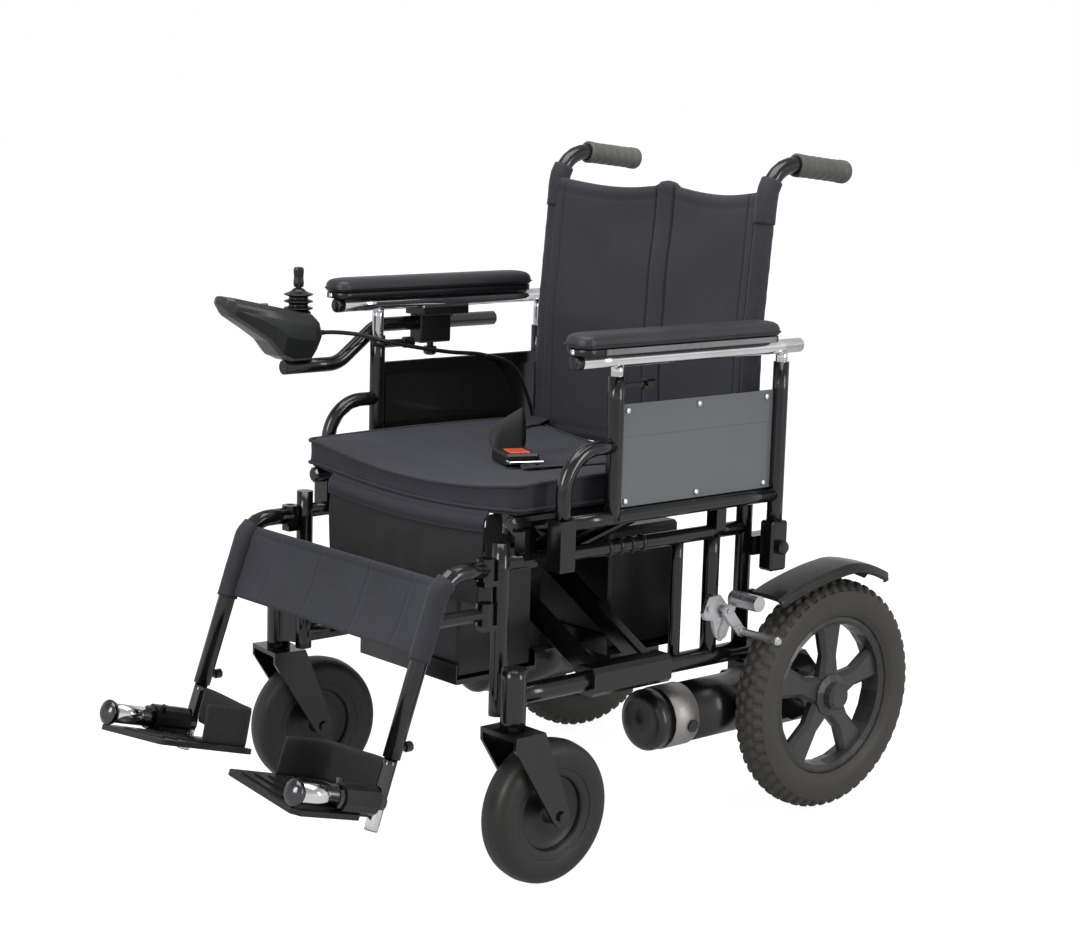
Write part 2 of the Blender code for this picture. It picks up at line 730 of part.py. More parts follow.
def make_fender(label, side, mats):
    """A curved guard over the drive wheel, bolted to the push cane."""
    top = 2 * WHEEL_R
    crown = [(0.2255, top - 0.0072), (0.262, top + 0.0050), (0.308, top + 0.0162), (0.345, top + 0.0222)]
    crown += arc_points((AXLE_Y, WHEEL_R), FENDER_R, 84, 62, 2)
    crown += arc_points((AXLE_Y, WHEEL_R), FENDER_R, 62, 58.5, 1)[1:]
    inner, outer = side * (FRAME_X + 0.0148), side * (WHEEL_X + 0.0375)
    skin = 0.0028
    lip = 0.009
    rings = []
    toward = side
    for i, (y, z) in enumerate(crown):
        before = crown[max(i - 1, 0)]
        after = crown[min(i + 1, len(crown) - 1)]
        ahead = Vector((after[0] - before[0], after[1] - before[1])).normalized()
        down = Vector((ahead.y, -ahead.x))
        tip = i == len(crown) - 1
        left, right = inner + toward * (0.012 if tip else 0), outer - toward * (0.012 if tip else 0)
        middle = (left + right) / 2
        ring = []
        section = [(left, lip), (left + toward * 0.006, 0), (middle, -0.0025), (right - toward * 0.006, 0)]
        section += [(right, lip), (right - toward * skin, lip), (right - toward * 0.0075, skin)]
        section += [(middle, skin - 0.0025), (left + toward * 0.0075, skin), (left + toward * skin, lip)]
        for x, d in section:
            ring.append((x, y + down.x * d, z + down.y * d))
        rings.append(ring)
    shell = loft("shell", rings, mats["black_plastic"])
    tab = box(
        "tab",
        mirrored(side, (FRAME_X + TUBE_R + GAP, REAR_Y - 0.010, top - 0.0130)),
        mirrored(side, (FRAME_X + 0.0165, REAR_Y + 0.010, top - 0.0035)),
        mats["black_plastic"],
    )
    fender = fuse(shell, tab)
    fender.name = label + "_fender"
    return fender


# Casters
def make_caster_fork(label, side, mats):
    """A caster fork of folded plate, with its stem and the wheel's axle bolt."""
    paint = mats["black_paint"]
    x = side * CASTER_X
    wheel_y = CASTER_Y + CASTER_TRAIL
    crown_top = HOUSING_BOTTOM_Z - 0.001
    half = FORK_GAP / 2
    crown = box(
        "crown",
        (x - half - FORK_T, CASTER_Y - 0.023, crown_top - CROWN_T),
        (x + half + FORK_T, CASTER_Y + 0.025, crown_top),
        paint,
    )
    outline = [(CASTER_Y - 0.023, crown_top), (CASTER_Y - 0.023, crown_top - 0.016)]
    outline += arc_points((wheel_y, CASTER_R), 0.014, 205, 385, 4)
    outline += [(CASTER_Y + 0.025, crown_top)]
    legs = []
    for way in (-1, 1):
        near = x + way * half
        legs.append(plate("leg", outline, near, near + way * (FORK_T - 0.0002), paint))
    stem = rod("stem", (x, CASTER_Y, crown_top - 0.003), (x, CASTER_Y, STEM_TOP_Z), STEM_R, paint, 10)
    reach = half + FORK_T + 0.004
    bolt = rod("bolt", (x - reach, wheel_y, CASTER_R), (x + reach, wheel_y, CASTER_R), AXLE_BOLT_R, paint, 8)
    heads = []
    for way in (-1, 1):
        foot = Vector((x + way * (half + FORK_T - 0.001), wheel_y, CASTER_R))
        heads.append(rod("head", foot, foot + Vector((way * 0.005, 0, 0)), 0.0075, paint, 6))
    fork = fuse(crown, *legs, stem, bolt, *heads)
    fork.name = label + "_caster_fork"
    return turn_caster(fork, label, side)


def turn_caster(obj, label, side):
    """Turns a caster's piece about its stem to where the caster stands."""
    stem = Vector((side * CASTER_X, CASTER_Y, 0))
    turn = Matrix.Rotation(CASTER_TURN[label], 4, "Z")
    obj.data.transform(Matrix.Translation(stem) @ turn @ Matrix.Translation(-stem))
    return obj


def make_caster_wheel(label, side, mats):
    """A caster wheel: a solid tyre on a moulded hub that is bored for the axle bolt."""
    centre = (side * CASTER_X, CASTER_Y + CASTER_TRAIL, CASTER_R)
    half = CASTER_W / 2
    hub = FORK_GAP / 2 - 0.0005
    steps = 20
    hole = clear_radius(AXLE_BOLT_R, steps)
    outer = [(0.011, hub), (0.013, 0.010), (0.046, 0.010), (0.051, 0.018), (0.072, half), (CASTER_R, 0.009)]
    profile = [(hole, -hub)] + [(r, -h) for r, h in outer] + outer[::-1] + [(hole, hub)]
    wheel = turned(label + "_caster_wheel", profile, centre, (side, 0, 0), mats["tyre_rubber"], steps, closed=True)
    return turn_caster(wheel, label, side)


# Footrests
def slope_point(side, z):
    """A point on the axis of a hanger's sloping tube, at the given height."""
    return Vector((side * FRAME_X, HANGER_CORNER_Y - (HANGER_Z - z) * math.tan(HANGER_SLOPE), z))


def slope_direction():
    """The way down a hanger's sloping tube."""
    return Vector((0, -math.sin(HANGER_SLOPE), -math.cos(HANGER_SLOPE)))


def hanger_route(side):
    """The axis of a hanger's main tube, from its upper eye round the bend and down the slope."""
    x = side * FRAME_X
    corner = (x, HANGER_CORNER_Y, HANGER_Z)
    return rounded([(x, EYE_Y - 0.001, HANGER_Z), corner, slope_point(side, HANGER_END_Z)], HANGER_BEND_R, 24.0)


def make_hanger(label, side, mats):
    """A swing-away hanger: the bent tube, its lower stub, two eyes, and the bore for the footrest tube."""
    paint = mats["black_paint"]
    x = side * FRAME_X
    end = slope_point(side, HANGER_END_Z)
    main = tube("main", hanger_route(side), TUBE_R, paint)
    stub = rod("stub", (x, EYE_Y - 0.001, HANGER_STUB_Z), slope_point(side, HANGER_STUB_Z), STUB_R, paint, 8)
    eyes = []
    for z in (HANGER_Z, HANGER_STUB_Z):
        eyes.append(rod("eye", (x, EYE_Y, z - EYE_H / 2), (x, EYE_Y, z + EYE_H / 2), EYE_R, paint, 10))
    knob_z = HANGER_END_Z + 0.010
    seat = slope_point(side, knob_z)
    profile = [(0, 0.006), (0.004, 0.006), (0.004, 0.016), (0.0065, 0.017), (0.0065, 0.026), (0, 0.027)]
    knob = turned("knob", profile, seat, (0, 1, 0), paint, 8)
    hanger = fuse(main, stub, *eyes, knob)
    hanger.name = label + "_hanger"
    cutters = []
    for z in (HANGER_Z, HANGER_STUB_Z):
        low = (x, EYE_Y, z - EYE_H / 2 - 0.002)
        cutters.append(bore("eye_hole", low, (x, EYE_Y, z + EYE_H / 2 + 0.002), PIN_R, paint, 8))
    deep = end - slope_direction() * (FOOT_TUBE_INSERT + 0.002)
    cutters.append(bore("socket", deep, end + slope_direction() * 0.01, FOOT_TUBE_R, paint, 10))
    return cut(hanger, *cutters)


def pivot_frame(side):
    """The footplate's own frame: its zero at the pivot tube's front end, then inboard, rearward and up."""
    rearward = Vector((0, math.cos(PIVOT_PITCH), -math.sin(PIVOT_PITCH)))
    inboard = Vector((-side * math.cos(PLATE_RISE), 0, math.sin(PLATE_RISE)))
    inboard = (inboard - rearward * inboard.dot(rearward)).normalized()
    over = inboard.cross(rearward) * side
    over = -over if over.z < 0 else over
    zero = Vector((side * FRAME_X, PIVOT_FRONT_Y, PIVOT_FRONT_Z))
    return zero, inboard, rearward, over


def make_foot_tube(label, side, mats):
    """The footrest's extension tube, with the chromed pivot tube, its domed cap and its collar."""
    chrome = mats["chrome"]
    end = slope_point(side, HANGER_END_Z)
    top = end - slope_direction() * FOOT_TUBE_INSERT
    leg = rod("leg", top, slope_point(side, FOOT_TUBE_BOTTOM_Z), FOOT_TUBE_R, chrome, 10)
    zero, _, rearward, _ = pivot_frame(side)
    r = PIVOT_R
    profile = [(0, -0.006), (0.009, -0.0045), (0.0155, 0), (0.0165, 0.004), (0.0145, 0.009), (r, 0.010)]
    collar = SLEEVE_START - 0.008
    profile += [(r, collar), (0.0155, collar), (0.0155, SLEEVE_START - GAP), (r, SLEEVE_START - GAP)]
    profile += [(r, PIVOT_L), (0, PIVOT_L)]
    pivot = turned("pivot", profile, zero, rearward, chrome, 12)
    foot = fuse(leg, pivot)
    foot.name = label + "_foot_tube"
    return foot


def make_footplate(label, side, mats):
    """A footplate with ribs on its tread, hung from a sleeve on the pivot tube."""
    mat = mats["black_plastic"]
    zero, inboard, rearward, over = pivot_frame(side)

    def at(u, v, w):
        return zero + inboard * u + rearward * v + over * w

    top = -PLATE_DROP
    toe, heel = 0.006, 0.014
    outline = arc_points((PLATE_REACH - toe, 0.001 + toe), toe, -90, 0, 2)
    outline += arc_points((PLATE_REACH - heel, PLATE_L - heel), heel, 0, 90, 3)
    outline += [(0.012, PLATE_L), (0.012, PLATE_L - 0.030), (-0.010, PLATE_L - 0.047), (-0.014, 0.012), (-0.006, 0.001)]
    base = loft("base", [[at(u, v, top - PLATE_T) for u, v in outline], [at(u, v, top) for u, v in outline]], mat)
    ribs = []
    for k in range(5):
        v = 0.014 + k * 0.020
        rib = [at(0.030, v, top + 0.0005), at(PLATE_REACH - 0.016, v, top + 0.0005)]
        ribs.append(sweep("rib", rib, rectangle(0.006, 0.004), mat, over))
    sleeve = rod("sleeve", at(0, SLEEVE_START, 0), at(0, SLEEVE_START + SLEEVE_L, 0), SLEEVE_R, mat, 12)
    web = sweep(
        "web",
        [at(0.004, SLEEVE_START + 0.004, -0.014), at(0.004, SLEEVE_START + SLEEVE_L - 0.004, -0.014)],
        rectangle(0.022, 0.010),
        mat,
        over,
    )
    lug = rod("catch", at(0.012, SLEEVE_START + 0.006, 0.010), at(0.017, SLEEVE_START + 0.006, 0.0185), 0.004, mat, 6)
    made = fuse(base, *ribs, sleeve, web, lug)
    made.name = label + "_footplate"
    ends = (at(0, SLEEVE_START - 0.02, 0), at(0, SLEEVE_START + SLEEVE_L + 0.02, 0))
    return cut(made, bore("hole", *ends, PIVOT_R, mat, 12))


def make_heel_loop(label, side, mats):
    """The band behind the heel: from the footrest tube along the plate's rear, then forward at its inner edge."""
    zero, inboard, rearward, over = pivot_frame(side)
    floor = -PLATE_DROP + GAP
    inner, rear = PLATE_REACH - 0.008, PLATE_L - 0.004
    half = 0.00125
    bend = 0.018
    stations = [(0.0105, 0.1378, 0.003, 0.049, (0, 1)), (inner - bend, rear, floor + 0.001, 0.036, (0, 1))]
    for k in (1, 2, 3):
        a = math.pi / 2 * k / 4
        u, v = inner - bend + bend * math.sin(a), rear - bend + bend * math.cos(a)
        stations.append((u, v, floor, 0.035, (math.sin(a), math.cos(a))))
    stations += [(inner, rear - bend, floor, 0.035, (1, 0)), (inner, 0.068, floor, 0.034, (1, 0))]
    rings = []
    for u, v, low, high, (du, dv) in stations:
        foot = zero + inboard * u + rearward * v
        out = inboard * (du * half) + rearward * (dv * half)
        lean = inboard * (0.0055 if not rings else 0.0)
        rings.append([foot - out + over * low, foot + out + over * low, foot + out + over * high + lean,
                      foot - out + over * high + lean])
    return loft(label + "_heel_loop", rings, mats["nylon"])


# Armrests
def make_arm_frame(label, side, mats):
    """The lower part of an armrest, which flips back on its rear foot."""
    paint = mats["black_paint"]
    x = side * ARM_X
    loop = rounded(
        [(x, ARM_POST_Y, ARM_LOOP_Z), (x, ARM_FRONT_Y, ARM_LOOP_Z), (x, ARM_FRONT_Y, ARM_LEG_BOTTOM_Z)],
        ARM_LOOP_R,
        22.5,
    )
    parts = [tube("loop", loop, ARM_TUBE_R, paint)]
    parts.append(rod("rail", (x, ARM_FRONT_Y + 0.002, ARM_RAIL_Z), (x, ARM_REAR_Y - 0.002, ARM_RAIL_Z), 0.009, paint, 10))
    posts = ((ARM_POST_Y, ARM_RAIL_Z - 0.003), (ARM_REAR_Y, ARM_PIVOT_Z + 0.020))
    for y, low in posts:
        parts.append(rod("post", (x, y, low), (x, y, ARM_POST_TOP_Z), ARM_POST_R, paint, 10))
    parts.append(
        box(
            "foot",
            mirrored(side, (ARM_X - 0.0125, ARM_REAR_Y - 0.0155, ARM_PIVOT_Z - 0.033)),
            mirrored(side, (ARM_X + 0.0125, ARM_REAR_Y + 0.0155, ARM_PIVOT_Z + 0.035)),
            paint,
            0.003,
        )
    )
    for z in (0.470, 0.590):
        parts.append(
            box(
                "guard_bar",
                mirrored(side, (ARM_X - 0.0086, ARM_POST_Y + 0.003, z - 0.008)),
                mirrored(side, (ARM_X - 0.0055, ARM_REAR_Y - 0.003, z + 0.008)),
                paint,
            )
        )
    profile = [(0, 0.006), (0.006, 0.006), (0.006, 0.040), (0.0045, 0.041), (0.0045, 0.046), (0.0085, 0.047)]
    profile += [(0.0085, 0.060), (0.006, 0.063), (0, 0.063)]
    parts.append(turned("height_knob", profile, (x, ARM_POST_Y, 0.6235), (0, 1, 0), paint, 8))
    arm = fuse(*parts)
    arm.name = label + "_arm_frame"
    cutters = []
    for y in (ARM_POST_Y, ARM_REAR_Y):
        floor = ARM_TUBE_Z - ARM_SLIDE_TRAVEL - 0.066
        cutters.append(bore("socket", (x, y, floor), (x, y, ARM_POST_TOP_Z + 0.01), ARM_INNER_R, paint, 10))
    pin = (side * (ARM_X - 0.03), side * (ARM_X + 0.03))
    cutters.append(bore("pin_hole", (pin[0], ARM_REAR_Y, ARM_PIVOT_Z), (pin[1], ARM_REAR_Y, ARM_PIVOT_Z), 0.0045, paint))
    return cut(arm, *cutters)


def mount_clamp(paint):
    """The clamp under the right armrest that the joystick's mounting tube slides in."""
    x = MOUNT_X
    top = ARM_TUBE_Z + RIGHT_ARM_LIFT - ARM_TUBE_R + 0.004
    block = box("block", (x - 0.0135, 0.030, 0.6190), (x + 0.0135, 0.086, top - 0.004), paint, 0.002)
    shelf = box("shelf", (x - 0.0135, 0.022, top - 0.0155), (0.008 - ARM_X, 0.105, top), paint, 0.001)
    profile = [(0, -0.002), (0.005, -0.002), (0.005, 0.006), (0.010, 0.007), (0.010, 0.016), (0.007, 0.019), (0, 0.019)]
    screw = turned("screw", profile, (x, 0.058, 0.6190), (0, 0, -1), paint, 8)
    bolts = []
    for y in (0.034, 0.092):
        bolts.append(rod("bolt", (x - 0.002, y, top - 0.002), (x - 0.002, y, top + 0.0035), 0.0045, paint, 6))
    return [block, shelf, screw, *bolts]


def make_arm_slide(label, side, lift, mats):
    """The chromed upper tube of an armrest and the two posts that telescope into the lower part."""
    chrome = mats["chrome"]
    x = side * ARM_X
    z = ARM_TUBE_Z + lift
    length = ARM_TUBE_REAR_Y - ARM_TUBE_FRONT_Y
    r = ARM_TUBE_R
    profile = [(0, 0), (r - 0.0015, 0), (r, 0.0015), (r, length - 0.0015), (r - 0.0015, length), (0, length)]
    parts = [turned("tube", profile, (x, ARM_TUBE_FRONT_Y, z), (0, 1, 0), chrome, 10)]
    for y in (ARM_POST_Y, ARM_REAR_Y):
        low = ARM_TUBE_Z - ARM_SLIDE_TRAVEL - 0.064 + RIGHT_ARM_LIFT
        parts.append(rod("post", (x, y, low), (x, y, z - 0.001), ARM_INNER_R, chrome))
    if label == "right":
        parts += mount_clamp(chrome)
    slide = fuse(*parts)
    slide.name = label + "_arm_tube"
    if label == "right":
        cut(slide, bore("hole", (MOUNT_X, 0.0, MOUNT_Z), (MOUNT_X, 0.14, MOUNT_Z), MOUNT_R, chrome, 12))
    return slide


def make_arm_pad(label, side, lift, mats):
    """A padded armrest: a base board and an upholstered top with a crowned, rounded outline."""
    base = ARM_TUBE_Z + lift + ARM_TUBE_R + GAP
    half = PAD_W / 2
    rings = []
    for rise, inset in ((0, 0.0030), (0.008, 0.0030), (0.0095, 0.0), (0.0175, 0.0), (0.0235, 0.0025), (0.0262, 0.008)):
        h = half - inset
        y_low, y_high = PAD_FRONT_Y + inset, PAD_REAR_Y - inset
        corner = h * 0.93
        x = side * PAD_X
        outline = arc_points((x + h - corner, y_low + corner), corner, -90, 0, 2)
        outline += arc_points((x + h - corner, y_high - corner), corner, 0, 90, 2)
        outline += arc_points((x - h + corner, y_high - corner), corner, 90, 180, 2)
        outline += arc_points((x - h + corner, y_low + corner), corner, 180, 270, 2)
        rings.append([(px, py, base + rise) for px, py in outline])
    crown = [((px - side * PAD_X) * 0.45 + side * PAD_X, py + (0.025 if py < 0 else -0.025), base + PAD_T)
             for px, py, _ in rings[-1]]
    rings.append(crown)
    return loft(label + "_arm_pad", rings, mats["vinyl"], 30.0)


def make_skirt_guard(label, side, mats):
    """The side panel between the arm posts, with its six bolt heads."""
    front = ARM_POST_Y + ARM_POST_R + GAP
    rear = ARM_REAR_Y - ARM_POST_R - GAP
    inner, outer = ARM_X - 0.0055 + GAP, ARM_X - 0.0022
    panel = box(
        "panel",
        mirrored(side, (inner, front, 0.4665)),
        mirrored(side, (outer, rear, 0.5985)),
        mats["guard_plastic"],
    )
    heads = []
    for z in (0.4735, 0.5900):
        for share in (0.045, 0.5, 0.955):
            y = front + (rear - front) * share
            foot = mirrored(side, (outer - 0.001, y, z))
            heads.append(rod("bolt", foot, mirrored(side, (outer + 0.0018, y, z)), 0.0042, mats["guard_plastic"], 6))
    guard = fuse(panel, *heads)
    guard.name = label + "_skirt_guard"
    return guard


# Wheel locks
def make_wheel_lock(label, side, mats):
    """A push-to-lock wheel brake: its base, its hand lever and the arm that carries the shoe."""
    metal = mats["aluminium"]
    t0, t1 = side * LOCK_X, side * (LOCK_X + 0.0062)
    outline = [(0.140, 0.300), (0.150, 0.321), (0.172, 0.322), (0.186, 0.306), (0.1865, 0.264), (0.176, 0.257)]
    outline += [(0.1655, 0.264), (0.160, 0.288), (0.146, 0.290)]
    base = plate("base", outline, t0, t1, metal)
    pins = [
        rod("lever_pin", (t0, *LOCK_P1), (side * (LOCK_X + 0.0175), *LOCK_P1), 0.003, metal, 8),
        rod("shoe_pin", (t0, *LOCK_P2), (side * (LOCK_X + 0.0105), *LOCK_P2), 0.003, metal, 8),
        rod("bolt_head", (side * (LOCK_X + 0.0055), 0.150, 0.306), (side * (LOCK_X + 0.0105), 0.150, 0.306), 0.0055,
            metal, 6),
    ]
    lock = fuse(base, *pins)
    lock.name = label + "_lock_base"

    shoe_in, shoe_out = side * (LOCK_X + 0.0066), side * (LOCK_X + 0.0106)
    shoe = flat_link("shoe_link", LOCK_P2, LOCK_SHOE, 0.0065, shoe_in, shoe_out, metal)
    roller = rod("roller", (shoe_in, *LOCK_SHOE), (side * LOCK_SHOE_END_X, *LOCK_SHOE), LOCK_SHOE_R, metal, 12)
    shoe = fuse(shoe, roller)
    shoe.name = label + "_lock_shoe"
    shoe = cut(shoe, bore("hole", (t0, *LOCK_P2), (side * (FRAME_X + 0.052), *LOCK_P2), 0.003, metal, 8))

    lever_in, lever_out = side * (LOCK_X + 0.0112), side * (LOCK_X + 0.0160)
    lever = flat_link("lever_link", LOCK_P1, LOCK_HANDLE, 0.0075, lever_in, lever_out, metal)
    end = LOCK_HANDLE_END_X - (LOCK_X + 0.0112)
    profile = [(0, 0), (0.0065, 0), (0.0065, 0.008), (0.0058, 0.010), (0.0062, end - 0.003), (0.0045, end), (0, end)]
    handle = turned("handle", profile, (lever_in, *LOCK_HANDLE), (side, 0, 0), metal, 10)
    lever = fuse(lever, handle)
    lever.name = label + "_lock_lever"
    lever = cut(lever, bore("hole", (t0, *LOCK_P1), (side * (FRAME_X + 0.052), *LOCK_P1), 0.003, metal, 8))
    return lock, shoe, lever


def flat_link(name, start, end, radius, x_low, x_high, mat):
    """A flat bar with round ends, in the YZ plane."""
    lean = math.degrees(math.atan2(end[1] - start[1], end[0] - start[0]))
    outline = arc_points(end, radius, lean - 90, lean + 90, 4) + arc_points(start, radius, lean + 90, lean + 270, 4)
    return plate(name, outline, x_low, x_high, mat)


# Scissor brace
def make_brace(name, low_side, leg_offset, mats):
    """One half of the scissor: a sleeve on one lower rail, two legs, and the seat rail over the other side."""
    paint = mats["black_paint"]
    low = Vector((low_side * FRAME_X, 0, LOWER_RAIL_Z))
    high = Vector((-low_side * FRAME_X, 0, SEAT_RAIL_Z))
    rail_length = SEAT_RAIL_REAR_Y - SEAT_RAIL_FRONT_Y
    r = TUBE_R
    profile = [(0, -0.0012), (r - 0.003, -0.0008), (r, 0.0015), (r, rail_length - 0.0015), (r - 0.003, rail_length + 0.0008)]
    profile += [(0, rail_length + 0.0012)]
    rail = turned("rail", profile, (high.x, SEAT_RAIL_FRONT_Y, SEAT_RAIL_Z), (0, 1, 0), paint, 10)
    sleeve = sweep(
        "sleeve",
        [(low.x, BRACE_MID_Y - SLEEVE_HALF_L, low.z), (low.x, BRACE_MID_Y + SLEEVE_HALF_L, low.z)],
        rectangle(SLEEVE_W, SLEEVE_W, 0.006),
        paint,
    )
    legs = []
    for way in (-1, 1):
        y = Vector((0, BRACE_MID_Y + way * leg_offset, 0))
        legs.append(sweep("leg", [low + y, high + y], rectangle(LEG_W, LEG_T, 0.003), paint))
    brace = fuse(rail, sleeve, *legs)
    brace.name = name
    reach = SLEEVE_HALF_L + 0.01
    rail_hole = bore("rail_hole", low + Vector((0, BRACE_MID_Y - reach, 0)), low + Vector((0, BRACE_MID_Y + reach, 0)),
                     RAIL_R, paint, 10)
    bolt_hole = bore("bolt_hole", (0, BRACE_MID_Y - reach, CENTRE_Z), (0, BRACE_MID_Y + reach, CENTRE_Z), BOLT_R, paint)
    return cut(brace, rail_hole, bolt_hole)


def make_brace_bolt(mats):
    """The bolt on which both braces and the battery cradle turn."""
    reach = OUTER_LEG_Y + LEG_W / 2 + 0.0007
    length = 2 * reach
    t = BOLT_HEAD_T
    profile = [(0, -t), (BOLT_HEAD_R - 0.001, -t), (BOLT_HEAD_R, 0.001 - t), (BOLT_HEAD_R, 0), (BOLT_R, 0)]
    profile += [(BOLT_R, length), (BOLT_HEAD_R, length), (BOLT_HEAD_R, length + t), (0, length + t)]
    return turned("brace_bolt", profile, (0, BRACE_MID_Y - reach, CENTRE_Z), (0, 1, 0), mats["aluminium"], 10)


def make_cradle(mats):
    """The battery cradle that hangs from the brace bolt: a spine between the inner legs and two trays."""
    paint = mats["black_paint"]
    spine_t = 2 * (INNER_LEG_Y - LEG_W / 2) - 0.008
    low_y, high_y = BRACE_MID_Y - spine_t / 2, BRACE_MID_Y + spine_t / 2
    spine = box("spine", (-0.028, low_y, TRAY_Z + 0.001), (0.028, high_y, CENTRE_Z + 0.020), paint, 0.003)
    strip = box("strip", (-0.030, FRONT_BATTERY_Y, TRAY_Z), (0.030, REAR_BATTERY_Y, TRAY_Z + TRAY_T - 0.001), paint)
    trays = []
    for y in (FRONT_BATTERY_Y, REAR_BATTERY_Y):
        half = BATTERY_L / 2 + 0.0025
        wide = BATTERY_HALF_W + 0.0025
        trays.append(box("tray", (-wide, y - half, TRAY_Z - 0.0006), (wide, y + half, TRAY_Z + TRAY_T), paint))
        for way in (-1, 1):
            edge = y + way * half
            trays.append(box("lip", (-wide, edge - 0.001, TRAY_Z), (wide, edge + 0.001, TRAY_Z + 0.026), paint))
    cradle = fuse(spine, strip, *trays)
    cradle.name = "battery_cradle"
    return cut(cradle, bore("hole", (0, low_y - 0.01, CENTRE_Z), (0, high_y + 0.01, CENTRE_Z), BOLT_R, paint))


def make_battery(name, y, mats):
    """A sealed battery in its box, with a stepped lid and a carrying handle."""
    mat = mats["black_plastic"]
    half = BATTERY_L / 2
    low = TRAY_Z + TRAY_T + GAP
    top = low + BATTERY_H
    wide = BATTERY_HALF_W
    step = 0.002
    case_top = top - 0.028
    lid_low, lid_top = top - 0.030, top - 0.004
    case = box("case", (step - wide, y - half + step, low), (wide - step, y + half - step, case_top), mat, 0.004)
    lid = box("lid", (-wide, y - half, lid_low), (wide, y + half, lid_top), mat, 0.005)
    handle = box("handle", (-0.045, y - 0.011, top - 0.006), (0.045, y + 0.011, top), mat, 0.002)
    battery = fuse(case, lid, handle)
    battery.name = name
    return battery


# Seat, back and other soft pieces
def sling_height(x):
    """The underside of the seat sling: on the seat rails at its sides, and hanging between them."""
    columns = [(c, c * c / (FRAME_X - 0.006) ** 2) for c in SLING_XS]
    share = 1.0
    for (a, low), (b, high) in zip(columns, columns[1:]):
        if a <= x <= b:
            share = min(low, 1.0) + (min(high, 1.0) - min(low, 1.0)) * (x - a) / (b - a)
    return SEAT_RAIL_Z + TUBE_R + GAP - SLING_SAG * (1 - share)


def make_sling(mats):
    """The seat sling over both seat rails, with the flap that hangs in front of it."""
    low = [(x, sling_height(x)) for x in SLING_XS]
    high = [(x, z + SLING_T) for x, z in reversed(low)]
    rings = [[(x, y, z) for x, z in low + high] for y in (SEAT_FRONT_Y + 0.003, SEAT_REAR_Y - 0.010)]
    sheet = loft("sheet", rings, mats["nylon"], 30.0)
    flap_rings = []
    for z, half, front, back in (
        (0.4630, 0.160, -0.1905, -0.1830),
        (0.4420, 0.164, -0.1985, -0.1850),
        (0.4380, 0.161, -0.1960, -0.1850),
        (0.4000, 0.163, -0.2005, -0.1845),
        (0.3560, 0.160, -0.1990, -0.1850),
        (0.3420, 0.153, -0.1950, -0.1865),
    ):
        bulge = (front + back) / 2
        ring = [(-half, back, z), (-half, bulge, z), (-half + 0.012, front, z), (0, front - 0.002, z)]
        ring += [(half - 0.012, front, z), (half, bulge, z), (half, back, z), (0, back, z)]
        flap_rings.append([(x, y, sling_height(x) + 0.001 if zz > 0.46 else zz) for x, y, zz in ring])
    flap = loft("flap", flap_rings, mats["nylon"], 30.0)
    sling = fuse(sheet, flap)
    sling.name = "seat_sling"
    return sling


def make_cushion(mats):
    """The seat cushion: a firm pad with squared edges whose top dips between the seat rails."""
    base = SLING_T + GAP
    columns = [x for x in SLING_XS if abs(x) < 0.18]
    length = SEAT_REAR_Y - SEAT_FRONT_Y
    ends = ((0.0, 0.0045, 0.004, -0.0045), (0.0045, 0.0, 0.0, -0.0008), (0.022, 0.0, 0.0, 0.0), (0.100, 0.0, 0.0, 0.003))
    stations = [(SEAT_FRONT_Y + d, *rest) for d, *rest in ends]
    stations.append((SEAT_FRONT_Y + length / 2, 0.0, 0.0, 0.004))
    stations += [(SEAT_REAR_Y - d, *rest) for d, *rest in reversed(ends)]
    rings = []
    for y, inset, low, rise in stations:
        half = SEAT_HALF_W - inset

        def thick(x):
            return CUSHION_T - CUSHION_DISH * (1 - (x / SEAT_HALF_W) ** 2) + rise

        def at(x, share):
            return (x, y, sling_height(x) + base + low + (thick(x) - low) * share)

        ring = [at(x, 0.0) for x in (-half + 0.004, *SLING_XS[1:-1], half - 0.004)]
        ring += [at(half, 0.22), at(half + 0.001, 0.6), at(half - 0.001, 0.90)]
        ring += [at(x, 1.0) for x in (half - 0.005, *columns[::-1], -half + 0.005)]
        ring += [at(0.001 - half, 0.90), at(-half - 0.001, 0.6), at(-half, 0.22)]
        rings.append(ring)
    return loft("seat_cushion", rings, mats["nylon"], 50.0)


def back_line(x):
    """How far behind the push canes' front the back's sling hangs, at a distance from the middle."""
    share = abs(x) / FRAME_X
    return BACK_SAG * (1 - share * share)


